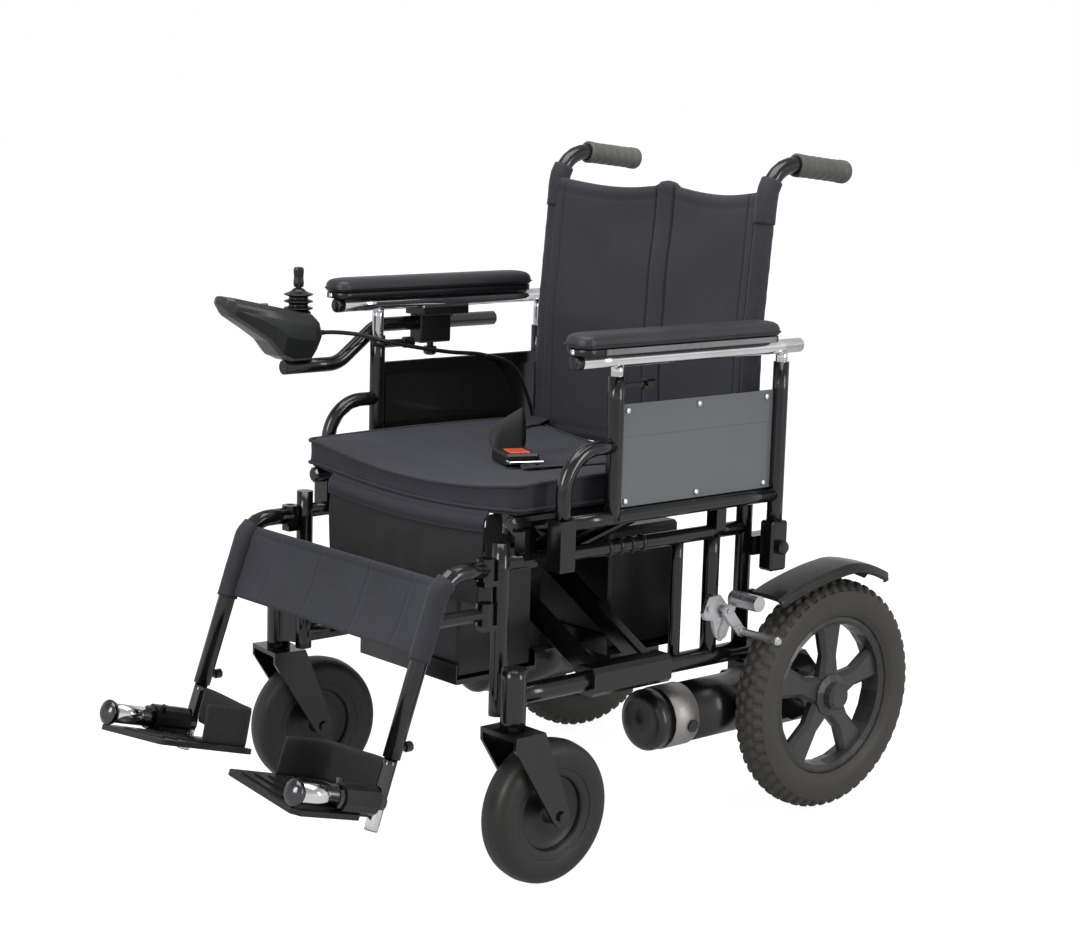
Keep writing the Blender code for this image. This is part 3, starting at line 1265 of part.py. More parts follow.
def make_back(mats):
    """The back: a padded sling between two sleeves on the push canes, with a seam strip down its middle."""
    mat = mats["nylon"]
    reach = FRAME_X - TUBE_R + 0.002
    front = REAR_Y - TUBE_R * 0.75
    xs = [-reach, -0.165, -0.125, -0.085, -0.045, -0.018, -0.016, 0.016, 0.018, 0.045, 0.085, 0.125, 0.165, reach]
    rings = []
    heights = ((BACK_BOTTOM_Z, 0.55), (BACK_BOTTOM_Z + 0.012, 1.0), (CANE_LEAN_Z, 1.0))
    heights += ((BACK_TOP_Z - 0.010, 1.0), (BACK_TOP_Z, 0.55))
    for z, full in heights:
        near, far = [], []
        for x in xs:
            strip = 0.0035 if abs(x) < 0.017 else 0
            pad = 0.004 * math.sin(math.pi * min(abs(abs(x) - 0.018) / (reach - 0.018), 1)) if abs(x) > 0.017 else 0
            y = front + back_line(x) + cane_lean(z)
            near.append((x, y - full * (BACK_T / 2 + strip + pad), z))
            far.append((x, y + full * (BACK_T / 2), z))
        rings.append(near + far[::-1])
    panel = loft("panel", rings, mat, 30.0)
    sleeves = []
    bores = []
    for way in (-1, 1):
        route = cane_route(way)
        low = Vector((way * FRAME_X, REAR_Y, BACK_BOTTOM_Z + 0.001))
        cover = [low, *route[1:4]]
        sleeves.append(tube("sleeve", cover, TUBE_R + 0.0032, mat))
        hem = Vector((way * FRAME_X, REAR_Y + cane_lean(HEM_Z), HEM_Z))
        sleeves.append(tube("hem", [hem, *route[2:4]], TUBE_R + 0.0050, mat))
        bores.append(tube("hole", [low - Vector((0, 0, 0.02)), *route[1:5]], clear_radius(TUBE_R, 10), mat))
    back = fuse(panel, *sleeves)
    back.name = "back_upholstery"
    return cut(back, *bores)


def make_calf_strap(mats):
    """The calf strap between the two hangers, with a sleeve round each tube from its bend downward."""
    mat = mats["nylon"]
    low_z = 0.306
    behind = Vector((0, math.cos(HANGER_SLOPE), -math.sin(HANGER_SLOPE)))
    columns = [-FRAME_X, -0.155, -0.10, -0.045, 0.045, 0.10, 0.155, FRAME_X]
    sleeves = []
    bores = []
    for way in (-1, 1):
        route = hanger_route(way)
        bottom = slope_point(way, low_z)
        cover = [route[2].lerp(route[3], 0.35), route[3], route[4], bottom]
        sleeves.append(tube("sleeve", cover, TUBE_R + 0.0028, mat))
        beyond = bottom + slope_direction() * 0.02
        bores.append(tube("hole", [route[1], route[2], route[3], route[4], beyond], clear_radius(TUBE_R, 10), mat))
        stub = (way * FRAME_X, EYE_Y, HANGER_STUB_Z)
        bores.append(bore("stub_hole", stub, slope_point(way, HANGER_STUB_Z), STUB_R, mat, 8))
    on_tube = [cover[0].lerp(cover[1], 0.15), cover[1], cover[2], cover[3] - slope_direction() * 0.001]
    chord = on_tube[-1] - on_tube[0]
    rings = []
    for i, station in enumerate(on_tube):
        share = (station - on_tube[0]).dot(chord) / chord.length_squared
        thick = 0.0016 if i in (0, len(on_tube) - 1) else 0.0026
        near, far = [], []
        for x in columns:
            flat = min((FRAME_X - abs(x)) / 0.05, 1.0)
            middle = station.lerp(on_tube[0] + chord * share, flat)
            middle = Vector((x, middle.y, middle.z)) + behind * (0.010 * (1 - (x / FRAME_X) ** 2) + 0.002)
            near.append(middle - behind * thick)
            far.append(middle + behind * thick)
        rings.append(near + far[::-1])
    panel = loft("panel", rings, mat, 30.0)
    strap = fuse(panel, *sleeves)
    strap.name = "calf_strap"
    return cut(strap, *bores)


def make_belt(cushion, mats):
    """The lap belt: two straps from behind the seat, the buckle with its button, and the tongue."""
    web = mats["nylon"]
    tree = BVHTree.FromObject(cushion, bpy.context.evaluated_depsgraph_get())

    def top(x, y):
        return tree.ray_cast(Vector((x, y, 1)), Vector((0, 0, -1)))[0].z

    def lay(x, y, across, rise=0.0):
        """A station of the strap on the cushion's top, tilted as the cushion is there."""
        flat = Vector(across).normalized()
        ends = [top(x + flat.x * way * BELT_W / 2, y + flat.y * way * BELT_W / 2) for way in (1, -1)]
        z = max(sum(ends) / 2, top(x, y)) + BELT_T / 2 + 0.0005 + rise
        tilted = Vector((flat.x, flat.y, (ends[0] - ends[1]) / BELT_W))
        return ((x, y, z), tilted * max(Vector(across).length, 1.0))

    along = Vector((math.cos(BUCKLE_TURN), math.sin(BUCKLE_TURN), 0))
    aside = Vector((-along.y, along.x, 0))
    middle = Vector((*BUCKLE, 0))
    low = max(top(*(middle + along * u + aside * v).xy) for u in (-0.034, 0, 0.043) for v in (-0.024, 0.024)) + GAP
    straps = []
    for name, way in (("left_lap_strap", 1), ("right_lap_strap", -1)):
        edge = top(way * BELT_X, SEAT_REAR_Y - 0.012)
        x = way * BELT_X
        side = (1, 0, 0)
        stations = [
            ((x, REAR_Y - TUBE_R - BELT_T / 2 - GAP, 0.440), side),
            ((x, SEAT_REAR_Y + 0.0080, 0.466), side),
            ((x, SEAT_REAR_Y + 0.0076, edge - 0.008), side),
            ((x, SEAT_REAR_Y + 0.0035, edge + 0.0032), side),
        ]
        if way > 0:
            corner = middle + along * 0.0700
            route = [Vector((x - 0.003, SEAT_REAR_Y - 0.020, 0)), Vector((0.162, 0.100, 0)), Vector((0.134, 0.010, 0))]
            run = (corner - route[-1]).normalized()
            mitre = (Vector((0, 0, 1)).cross(run) - aside).normalized()
            for point, across in zip(route, ((0.99, -0.14, 0), (0.97, -0.25, 0), (0.96, -0.28, 0))):
                stations.append(lay(point.x, point.y, across))
            stations.append(lay(corner.x, corner.y, mitre * 1.36, 0.0012))
            end = middle + along * 0.0438
            stations.append(((end.x, end.y, low + 0.0080), -aside))
        else:
            route = [(x + 0.004, SEAT_REAR_Y - 0.020), (-0.150, 0.115), (-0.105, 0.062), (-0.062, 0.030), (-0.034, 0.012)]
            turns = ((0.99, 0.13, 0), (0.88, 0.48, 0), (0.73, 0.67, 0), (0.62, 0.78, 0), (0.55, 0.83, 0))
            for (px, py), across in zip(route, turns):
                stations.append(lay(px, py, across))
            hump = (
                ((-0.019, 0.004), 0.018, (0.50, 0.86, 0.10)),
                ((-0.010, -0.004), 0.044, (0.40, 0.85, 0.35)),
                ((-0.0015, -0.014), 0.057, (0.25, 0.85, 0.47)),
                ((0.0070, -0.022), 0.044, (0.30, 0.88, 0.37)),
                ((0.0105, -0.0275), 0.020, (0.36, 0.92, 0.12)),
            )
            for (px, py), rise, across in hump:
                stations.append(((px, py, low + rise), across))
            end = middle - along * 0.0346
            stations.append(((end.x - 0.0012, end.y + 0.0005, low + 0.0070), aside))
        straps.append(belt_strap(name, stations, web))
    shape = Matrix.Translation((*BUCKLE, low)) @ Matrix.Rotation(BUCKLE_TURN, 4, "Z")
    black = mats["black_plastic"]
    case = box("belt_buckle", (-0.034, -0.024, 0), (0.026, 0.024, 0.017), black, 0.003)
    seat = box("button_seat", (-0.0165, -0.0145, 0.011), (0.0165, 0.0145, 0.030), black)
    mouth = box("mouth", (0.019, -0.0205, 0.0055), (0.040, 0.0205, 0.0105), black)
    case = cut(case, seat, mouth)
    button = box("belt_button", (-0.0160, -0.0140, 0.0140), (0.0160, 0.0140, 0.0180), mats["button_red"], 0.001)
    blade = box("blade", (0.0195, -0.0120, 0.0065), (0.032, 0.0120, 0.0095), mats["chrome"])
    bow = box("bow", (0.0270, -0.0240, 0.0060), (0.0430, 0.0240, 0.0100), mats["chrome"], 0.001)
    tongue = fuse(blade, bow)
    tongue.name = "belt_tongue"
    for piece in (case, button, tongue):
        piece.data.transform(shape)
    return straps, case, button, tongue


def belt_strap(name, stations, mat):
    """A strap of the belt. Its width direction is longer than one where the strap is mitred at a fold."""
    rings = []
    centres = [Vector(centre) for centre, _ in stations]
    for i, (_, across) in enumerate(stations):
        ahead = centres[min(i + 1, len(centres) - 1)] - centres[max(i - 1, 0)]
        across = Vector(across)
        stretch = max(across.length, 1.0) if across.length > 1.1 else 1.0
        across = across.normalized()
        over = across.cross(ahead).normalized()
        side, up = across * (BELT_W / 2 * stretch), over * (BELT_T / 2)
        rings.append([centres[i] + corner for corner in (side + up, up - side, -side - up, side - up)])
    return loft(name, rings, mat, 30.0)


# Joystick
def make_mount(mats):
    """The controller's S-bent mounting tube."""
    x = MOUNT_X
    path = rounded(
        [(x, 0.175, MOUNT_Z), (x, -0.040, MOUNT_Z), (x, -0.108, MOUNT_LOW_Z), (x, -0.200, MOUNT_LOW_Z)],
        0.045,
        15.0,
    )
    return tube("joystick_mount", path, MOUNT_R, mats["black_paint"], 12)


def pod_top(y):
    """The height of the controller's sloping top."""
    return 0.7000 + (y + 0.300) * (0.6645 - 0.7000) / 0.160


def make_pod(mats):
    """The controller's moulded pod, with the well for the stick and the seat of its power button."""
    mat = mats["black_plastic"]
    flat = MOUNT_LOW_Z + MOUNT_R + GAP
    sections = (
        (-0.3050, 0.6880, 0.6940, 0.009), (-0.3015, 0.6825, 0.6985, 0.018), (-0.2930, 0.6715, None, 0.027),
        (-0.2620, 0.6530, None, 0.031), (-0.2360, 0.6360, None, 0.034), (-0.2180, 0.6150, None, POD_HALF_W),
        (-0.2000, flat, None, POD_HALF_W), (-0.1700, flat, None, POD_HALF_W), (-0.1605, 0.6180, 0.6640, 0.034),
        (POD_REAR_Y, 0.6350, 0.6500, 0.027),
    )
    rings = []
    for y, low, high, half in sections:
        high = pod_top(y) if high is None else high
        tall = high - low
        c = min(0.008, tall * 0.3)
        narrow = half * 0.72
        ring = [(half, high - 2 * c), (half - c * 0.5, high - c * 0.6), (half - c * 1.4, high), (c * 1.4 - half, high)]
        ring += [(c * 0.5 - half, high - c * 0.6), (-half, high - 2 * c), (-half, high - tall * 0.55)]
        ring += [(-narrow, low + c * 0.5), (c - narrow, low), (narrow - c, low), (narrow, low + c * 0.5)]
        ring += [(half, high - tall * 0.55)]
        rings.append([(MOUNT_X + px, y, pz) for px, pz in ring])
    pod = loft("pod", rings, mat, 40.0)
    boss = rod("boss", (MOUNT_X, STICK_Y, 0.650), (MOUNT_X, STICK_Y, STICK_SEAT_Z), 0.0175, mat, 12)
    pod = fuse(pod, boss)
    pod.name = "controller_pod"
    pocket = rod("pocket", (MOUNT_X, STICK_Y, STICK_SEAT_Z), (MOUNT_X, STICK_Y, 0.71), 0.0218, mat, 14)
    well_floor = STICK_PIVOT_Z - 0.0058
    well = bore("well", (MOUNT_X, STICK_Y, well_floor), (MOUNT_X, STICK_Y, 0.69), 0.0093, mat, 12)
    x, y = POWER_BUTTON
    seat = bore("seat", (x, y, pod_top(y) - 0.0045), (x, y, pod_top(y) + 0.01), BUTTON_R, mat, 10)
    return cut(pod, pocket, well, seat)


def make_stick(mats):
    """The joystick's knob on its rod, the gimbal ring that it turns in and the ribbed gaiter."""
    mat = mats["grey_plastic"]
    low = STICK_PIVOT_Z - 0.0040
    profile = [(0, 0), (0.0040, 0), (0.0040, 0.0451), (0.0066, 0.0458), (0.0075, 0.0510), (0.0067, 0.0590)]
    profile += [(0.0074, 0.0690), (0.0062, 0.0727), (0, 0.0736)]
    stick = turned("joystick_stick", profile, (MOUNT_X, STICK_Y, low), (0, 0, 1), mat, 12)
    ring = [(0.0052, -0.0015), (0.0090, -0.0015), (0.0090, 0.0015), (0.0052, 0.0015)]
    pivot = (MOUNT_X, STICK_Y, STICK_PIVOT_Z)
    gimbal = turned("joystick_gimbal", ring, pivot, (0, 0, 1), mats["aluminium"], 12, closed=True)
    foot = (MOUNT_X, STICK_Y, STICK_SEAT_Z + GAP)
    neck, flange = 0.0135, 0.0205
    throat = 0.0046
    gaiter = [(throat, 0), (0.0165, 0), (neck, 0.0014)]
    for z in (0.0048, 0.0145, 0.0243):
        gaiter += [(neck, z - 0.0022), (flange, z - 0.0007), (flange, z + 0.0007), (neck, z + 0.0022)]
    gaiter += [(0.0085, 0.0312), (throat, 0.0330)]
    boot = turned("joystick_gaiter", gaiter, foot, (0, 0, 1), mats["black_plastic"], 10, closed=True)
    return stick, gimbal, boot


def make_power_button(mats):
    """The push button on the pod."""
    x, y = POWER_BUTTON
    profile = [(0, 0), (BUTTON_R, 0), (BUTTON_R, 0.0040), (BUTTON_R - 0.001, 0.0048), (0, 0.0050)]
    return turned("power_button", profile, (x, y, pod_top(y) - 0.0025), (0, 0, 1), mats["button_grey"], 10)


def make_cable(mats):
    """The controller's cable: from the pod, along the mounting tube, then across the arm to the push cane."""
    points = [
        (MOUNT_X, POD_REAR_Y + 0.0006, 0.6420), (MOUNT_X, POD_REAR_Y + 0.0180, 0.6420), (-0.2600, -0.1150, 0.6420),
        (-0.2420, -0.0880, 0.6390), (-0.2280, -0.0600, 0.6310), (-0.2255, -0.0100, 0.6200), (-0.2270, 0.0600, 0.6080),
        (-0.2260, 0.1250, 0.6000), (-0.2245, 0.1800, 0.5800), (-0.2264, 0.2130, 0.5300), (-0.2264, 0.2240, 0.4900),
        (-0.2264, 0.2240, 0.4350),
    ]
    curve = bpy.data.curves.new("controller_cable", "CURVE")
    curve.dimensions = "3D"
    curve.bevel_depth = CABLE_R
    curve.bevel_resolution = 2
    curve.use_fill_caps = True
    route = smooth_route(points, 3)
    spline = curve.splines.new("POLY")
    spline.points.add(len(route) - 1)
    for made, place in zip(spline.points, route):
        made.co = (*place, 1)
    curve.materials.append(mats["black_plastic"])
    cable = bpy.data.objects.new("controller_cable", curve)
    bpy.context.scene.collection.objects.link(cable)
    return cable


def smooth_route(points, steps):
    """A smooth curve through a list of points."""
    points = [Vector(p) for p in points]
    padded = [points[0] * 2 - points[1], *points, points[-1] * 2 - points[-2]]
    path = []
    for a, b, c, d in zip(padded, padded[1:], padded[2:], padded[3:]):
        for i in range(steps):
            t = i / steps
            path.append(
                0.5 * (2 * b + (c - a) * t + (2 * a - 5 * b + 4 * c - d) * t * t + (3 * b - a - 3 * c + d) * t * t * t)
            )
    path.append(points[-1])
    return path


def set_pivot(name, point):
    """Moves an object's origin to a point, such as one on its joint's axis."""
    obj = bpy.data.objects[name]
    obj.data.transform(Matrix.Translation(-Vector(point)))
    obj.location = point


def set_pivots():
    """Puts the origin of each moving piece on the axis that it moves about."""
    for label, side in SIDES:
        x = side * FRAME_X
        turn = CASTER_TURN[label]
        caster = (side * CASTER_X - math.sin(turn) * CASTER_TRAIL, CASTER_Y + math.cos(turn) * CASTER_TRAIL, CASTER_R)
        pin = (side * ARM_X, ARM_REAR_Y, ARM_PIVOT_Z)
        zero = pivot_frame(side)[0]
        places = {
            "mag_wheel": (side * WHEEL_X, AXLE_Y, WHEEL_R),
            "tyre": (side * WHEEL_X, AXLE_Y, WHEEL_R),
            "caster_fork": (side * CASTER_X, CASTER_Y, HOUSING_BOTTOM_Z),
            "caster_wheel": caster,
            "hanger": (x, EYE_Y, HANGER_Z),
            "foot_tube": slope_point(side, HANGER_END_Z),
            "footplate": zero,
            "heel_loop": slope_point(side, HANGER_END_Z),
            "arm_frame": pin,
            "skirt_guard": pin,
            "arm_tube": (side * ARM_X, ARM_REAR_Y, ARM_POST_TOP_Z),
            "arm_pad": (side * ARM_X, ARM_REAR_Y, ARM_POST_TOP_Z),
            "lock_lever": (side * LOCK_X, *LOCK_P1),
            "lock_shoe": (side * LOCK_X, *LOCK_P2),
        }
        for piece, place in places.items():
            set_pivot(label + "_" + piece, place)
    set_pivot("right_brace", (-FRAME_X, BRACE_MID_Y, LOWER_RAIL_Z))
    set_pivot("left_brace", (0, BRACE_MID_Y, CENTRE_Z))
    for name in ("left_frame", "left_grip", "left_fender", "left_motor", "left_lock_base"):
        set_pivot(name, (FRAME_X, BRACE_MID_Y, LOWER_RAIL_Z))
    for name in ("seat_cushion", "seat_sling", "left_lap_strap", "right_lap_strap", "belt_buckle"):
        set_pivot(name, (FRAME_X, BRACE_MID_Y, SEAT_RAIL_Z))
    for name in ("battery_cradle", "front_battery", "rear_battery", "brace_bolt"):
        set_pivot(name, (0, BRACE_MID_Y, CENTRE_Z))
    for name in ("joystick_gimbal", "joystick_stick", "joystick_gaiter"):
        set_pivot(name, (MOUNT_X, STICK_Y, STICK_PIVOT_Z))
    for name in ("joystick_mount", "controller_pod"):
        set_pivot(name, (MOUNT_X, 0, MOUNT_Z))
    set_pivot("power_button", (*POWER_BUTTON, pod_top(POWER_BUTTON[1])))
    for name in ("belt_button", "belt_tongue"):
        set_pivot(name, (*BUCKLE, SEAT_RAIL_Z))


def main():
    """Builds every piece of the chair."""
    clear_scene()
    mats = make_materials()
    for label, side in SIDES:
        lift = RIGHT_ARM_LIFT if label == "right" else 0.0
        make_frame(label, side, mats)
        make_grip(label, side, mats)
        make_motor(label, side, mats)
        make_tyre(label, side, mats)
        make_mag_wheel(label, side, mats)
        make_fender(label, side, mats)
        make_caster_fork(label, side, mats)
        make_caster_wheel(label, side, mats)
        make_hanger(label, side, mats)
        make_foot_tube(label, side, mats)
        make_footplate(label, side, mats)
        make_heel_loop(label, side, mats)
        make_arm_frame(label, side, mats)
        make_arm_slide(label, side, lift, mats)
        make_arm_pad(label, side, lift, mats)
        make_skirt_guard(label, side, mats)
        make_wheel_lock(label, side, mats)
    make_brace("right_brace", -1, INNER_LEG_Y, mats)
    make_brace("left_brace", 1, OUTER_LEG_Y, mats)
    make_brace_bolt(mats)
    make_cradle(mats)
    make_battery("front_battery", FRONT_BATTERY_Y, mats)
    make_battery("rear_battery", REAR_BATTERY_Y, mats)
    make_sling(mats)
    cushion = make_cushion(mats)
    make_back(mats)
    make_calf_strap(mats)
    make_belt(cushion, mats)
    make_mount(mats)
    make_pod(mats)
    make_stick(mats)
    make_power_button(mats)
    make_cable(mats)
    set_pivots()


main()
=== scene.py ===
# %% [markdown]
# A folding power wheelchair
# The chair's tubes, wheels and mechanisms come in as a fixed frame, in metres, with +X to the sitter's
# left, -Y to the front and the floor at zero. This lesson gives them their finishes, and makes the soft
# goods round them: the seat cushion with its piped edge, the sling, the back, the straps, the pads and the
# cable.

# %% Load the frame
import json
import math

import bmesh
import bpy
import numpy as np
from mathutils import Matrix, Vector
from mathutils.bvhtree import BVHTree

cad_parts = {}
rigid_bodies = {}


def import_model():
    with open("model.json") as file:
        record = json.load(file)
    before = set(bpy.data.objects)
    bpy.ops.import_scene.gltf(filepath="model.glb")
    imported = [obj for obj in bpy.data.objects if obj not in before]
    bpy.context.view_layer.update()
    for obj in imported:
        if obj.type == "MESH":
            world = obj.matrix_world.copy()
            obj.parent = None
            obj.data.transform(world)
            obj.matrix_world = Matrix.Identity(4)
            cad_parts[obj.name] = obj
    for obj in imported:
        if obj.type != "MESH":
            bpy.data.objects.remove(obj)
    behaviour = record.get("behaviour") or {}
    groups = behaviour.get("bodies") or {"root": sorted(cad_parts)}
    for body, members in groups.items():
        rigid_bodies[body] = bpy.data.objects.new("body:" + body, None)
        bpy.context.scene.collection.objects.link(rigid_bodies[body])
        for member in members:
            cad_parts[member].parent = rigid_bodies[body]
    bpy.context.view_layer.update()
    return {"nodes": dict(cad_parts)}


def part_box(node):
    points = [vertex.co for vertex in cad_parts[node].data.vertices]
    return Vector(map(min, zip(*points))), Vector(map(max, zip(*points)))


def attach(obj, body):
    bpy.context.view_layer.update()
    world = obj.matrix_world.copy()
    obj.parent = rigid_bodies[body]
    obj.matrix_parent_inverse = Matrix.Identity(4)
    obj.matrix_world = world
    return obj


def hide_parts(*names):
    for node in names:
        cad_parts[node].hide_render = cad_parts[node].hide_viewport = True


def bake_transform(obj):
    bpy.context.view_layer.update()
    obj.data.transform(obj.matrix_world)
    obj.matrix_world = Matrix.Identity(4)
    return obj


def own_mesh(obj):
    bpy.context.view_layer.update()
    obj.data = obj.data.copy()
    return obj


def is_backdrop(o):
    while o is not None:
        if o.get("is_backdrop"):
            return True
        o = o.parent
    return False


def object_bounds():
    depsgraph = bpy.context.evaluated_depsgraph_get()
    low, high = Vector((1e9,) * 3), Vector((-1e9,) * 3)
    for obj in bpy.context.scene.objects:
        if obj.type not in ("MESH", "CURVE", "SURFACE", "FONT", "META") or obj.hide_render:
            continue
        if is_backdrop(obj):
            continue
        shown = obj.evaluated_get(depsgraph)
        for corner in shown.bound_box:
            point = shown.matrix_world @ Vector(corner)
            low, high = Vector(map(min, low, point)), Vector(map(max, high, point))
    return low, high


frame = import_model()
nodes = frame["nodes"]

# %% [markdown]
# The camera
# The photograph looks down a little at the chair's left front corner, from some three metres off with a
# long lens. A direction and a roll say this more plainly than three angles, so the camera's axes are worked
# out from them.

# %% Camera
AZIMUTH, ELEVATION, ROLL = math.radians(48.508), math.radians(9.739), math.radians(1.628)
CAMERA_AT = (2.2891, -1.9847, 1.0006)
LENS_PX, PICTURE_W, SENSOR_MM = 2266.46, 1080, 36.0


def camera_axes(azimuth, elevation, roll):
    """Right, up and back: back points from the target to the camera, and roll turns right towards up."""
    back = Vector((
        math.sin(azimuth) * math.cos(elevation),
        -math.cos(azimuth) * math.cos(elevation),
        math.sin(elevation),
    ))
    level = Vector((math.cos(azimuth), math.sin(azimuth), 0))
    above = back.cross(level)
    right = level * math.cos(roll) + above * math.sin(roll)
    up = above * math.cos(roll) - level * math.sin(roll)
    return right, up, back


lens = bpy.data.cameras.new("camera")
lens.sensor_width = SENSOR_MM
lens.lens = LENS_PX * SENSOR_MM / PICTURE_W
lens.clip_start, lens.clip_end = 0.1, 60
camera = bpy.data.objects.new("camera", lens)
bpy.context.scene.collection.objects.link(camera)
axes = Matrix([list(axis) for axis in camera_axes(AZIMUTH, ELEVATION, ROLL)]).transposed().to_4x4()
camera.matrix_world = Matrix.Translation(CAMERA_AT) @ axes
bpy.context.scene.camera = camera
bpy.context.scene.view_settings.view_transform = "Standard"
print("lens of", round(lens.lens, 2), "mm")

# %% [markdown]
# Node helpers
# A material is a graph, and writing one out link by link hides what it does. So each of these helpers says
# one thing in one call: add a node with its values and links, do a sum, stretch a range, mix two colours,
# and open or place a node group with named inputs and outputs.

# %% Helpers for nodes
def add_node(tree, kind, inputs=None, **settings):
    """Adds a node and sets its properties. An input given a socket is linked, and any other is set."""
    made = tree.nodes.new("ShaderNode" + kind)
    for name, value in settings.items():
        setattr(made, name, value)
    for name, value in (inputs or {}).items():
        if isinstance(value, bpy.types.NodeSocket):
            tree.links.new(value, made.inputs[name])
        else:
            made.inputs[name].default_value = value
    return made


def maths(tree, operation, a, b=0.0, c=0.0):
    """One sum on two or three numbers or sockets."""
    return add_node(tree, "Math", {0: a, 1: b, 2: c}, operation=operation).outputs[0]


def spread(tree, value, low, high, to_low, to_high):
    """Maps a value from one range to another, held at both ends."""
    sockets = {"Value": value, "From Min": low, "From Max": high, "To Min": to_low, "To Max": to_high}
    return add_node(tree, "MapRange", sockets).outputs[0]


def blend_colour(tree, share, first, second):
    """Mixes two colours by a share."""
    made = add_node(tree, "Mix", data_type="RGBA")
    for index, value in ((0, share), (6, first), (7, second)):
        if isinstance(value, bpy.types.NodeSocket):
            tree.links.new(value, made.inputs[index])
        else:
            made.inputs[index].default_value = value if index == 0 else (*value[:3], 1)
    return made.outputs[2]


def new_group(name, takes, gives):
    """An empty node group with named sockets, and its input and output ends."""
    tree = bpy.data.node_groups.new(name, "ShaderNodeTree")
    for socket, kind, value in takes:
        made = tree.interface.new_socket(socket, in_out="INPUT", socket_type="NodeSocket" + kind)
        if value is not None:
            made.default_value = value
    for socket, kind in gives:
        tree.interface.new_socket(socket, in_out="OUTPUT", socket_type="NodeSocket" + kind)
    return tree, tree.nodes.new("NodeGroupInput").outputs, tree.nodes.new("NodeGroupOutput").inputs


def use_group(tree, group, inputs):
    """Places a group in a material and returns its outputs."""
    made = tree.nodes.new("ShaderNodeGroup")
    made.node_tree = group
    for name, value in inputs.items():
        if isinstance(value, bpy.types.NodeSocket):
            tree.links.new(value, made.inputs[name])
        else:
            made.inputs[name].default_value = value
    return made.outputs

# %% [markdown]
# Shared effects
# Paint, plastic and cloth differ in colour, but they share a few effects: a slow change of tone from
# handling, dust that settles on what faces up, the fine grain of a mould, and the over and under of
# threads. Each is one group, so that every material takes it at its own scale and strength.

# %% Group: slow change of tone
tone_group, take, give = new_group(
    "change_of_tone",
    [
        ("Vector", "Vector", None),
        ("Colour", "Color", (0.5, 0.5, 0.5, 1)),
        ("Scale", "Float", 8.0),
        ("Strength", "Float", 0.2),
    ],
    [("Colour", "Color"), ("Mask", "Float")],
)
clouds = add_node(tone_group, "TexNoise", {"Vector": take["Vector"], "Scale": take["Scale"], "Detail": 4.0})
mask = spread(tone_group, clouds.outputs[0], 0.35, 0.65, 0.0, 1.0)
lift = maths(tone_group, "MULTIPLY_ADD", maths(tone_group, "SUBTRACT", mask, 0.5), take["Strength"], 1.0)
shade = add_node(tone_group, "VectorMath", {0: take["Colour"]}, operation="SCALE")
tone_group.links.new(lift, shade.inputs["Scale"])
tone_group.links.new(shade.outputs[0], give["Colour"])
tone_group.links.new(mask, give["Mask"])

# %% Group: settled dust
dust_group, take, give = new_group(
    "settled_dust",
    [("Vector", "Vector", None), ("Normal", "Vector", (0, 0, 1)), ("Amount", "Float", 0.3)],
    [("Mask", "Float")],
)
facing = add_node(dust_group, "SeparateXYZ", {0: take["Normal"]}).outputs["Z"]
upward = spread(dust_group, facing, 0.2, 1.0, 0.15, 1.0)
speckled = {"Vector": take["Vector"], "Scale": 60.0, "Detail": 5.0, "Roughness": 0.7}
specks = add_node(dust_group, "TexNoise", speckled)
patchy = spread(dust_group, specks.outputs[0], 0.42, 0.75, 0.1, 1.0)
lying = maths(dust_group, "MULTIPLY", upward, patchy)
dust_group.links.new(maths(dust_group, "MULTIPLY", lying, take["Amount"]), give["Mask"])

# %% Group: moulded grain
grain_group, take, give = new_group(
    "moulded_grain",
    [("Vector", "Vector", None), ("Scale", "Float", 900.0)],
    [("Height", "Float")],
)
spaced = {"Vector": take["Vector"], "Scale": take["Scale"]}
cells = add_node(grain_group, "TexVoronoi", spaced, feature="SMOOTH_F1")
ripple = add_node(grain_group, "TexNoise", {**spaced, "Detail": 2.0})
grained = maths(grain_group, "MULTIPLY_ADD", ripple.outputs[0], 0.5, cells.outputs[0])
grain_group.links.new(grained, give["Height"])

# %% Group: woven threads
# The two thread directions are sine waves along U and V, in metres. Where one is up the other is down, as
# the sign of their product says.
weave_group, take, give = new_group(
    "woven_threads",
    [("Vector", "Vector", None), ("Thread", "Float", 0.0012)],
    [("Height", "Float"), ("Shade", "Float")],
)
across = add_node(weave_group, "SeparateXYZ", {0: take["Vector"]}).outputs
waves = []
for axis in ("X", "Y"):
    turns = maths(weave_group, "DIVIDE", across[axis], take["Thread"])
    waves.append(maths(weave_group, "SINE", maths(weave_group, "MULTIPLY", turns, math.pi)))
crossing = maths(weave_group, "MULTIPLY", waves[0], waves[1])
height = spread(weave_group, crossing, -1.0, 1.0, 0.0, 1.0)
fuzz = add_node(weave_group, "TexNoise", {"Vector": take["Vector"], "Scale": 1400.0, "Detail": 2.0})
weave_group.links.new(height, give["Height"])
fuzzy = maths(weave_group, "MULTIPLY", fuzz.outputs[0], 0.5)
weave_group.links.new(maths(weave_group, "MULTIPLY_ADD", height, 0.5, fuzzy), give["Shade"])

# %% [markdown]
# Finishes
# Each finish is a function of the object's own coordinates, which are metres in the chair's frame. The
# black enamel is a hard, glossy coat over dark steel, with the faint waviness of sprayed paint and a little
# dust on top.

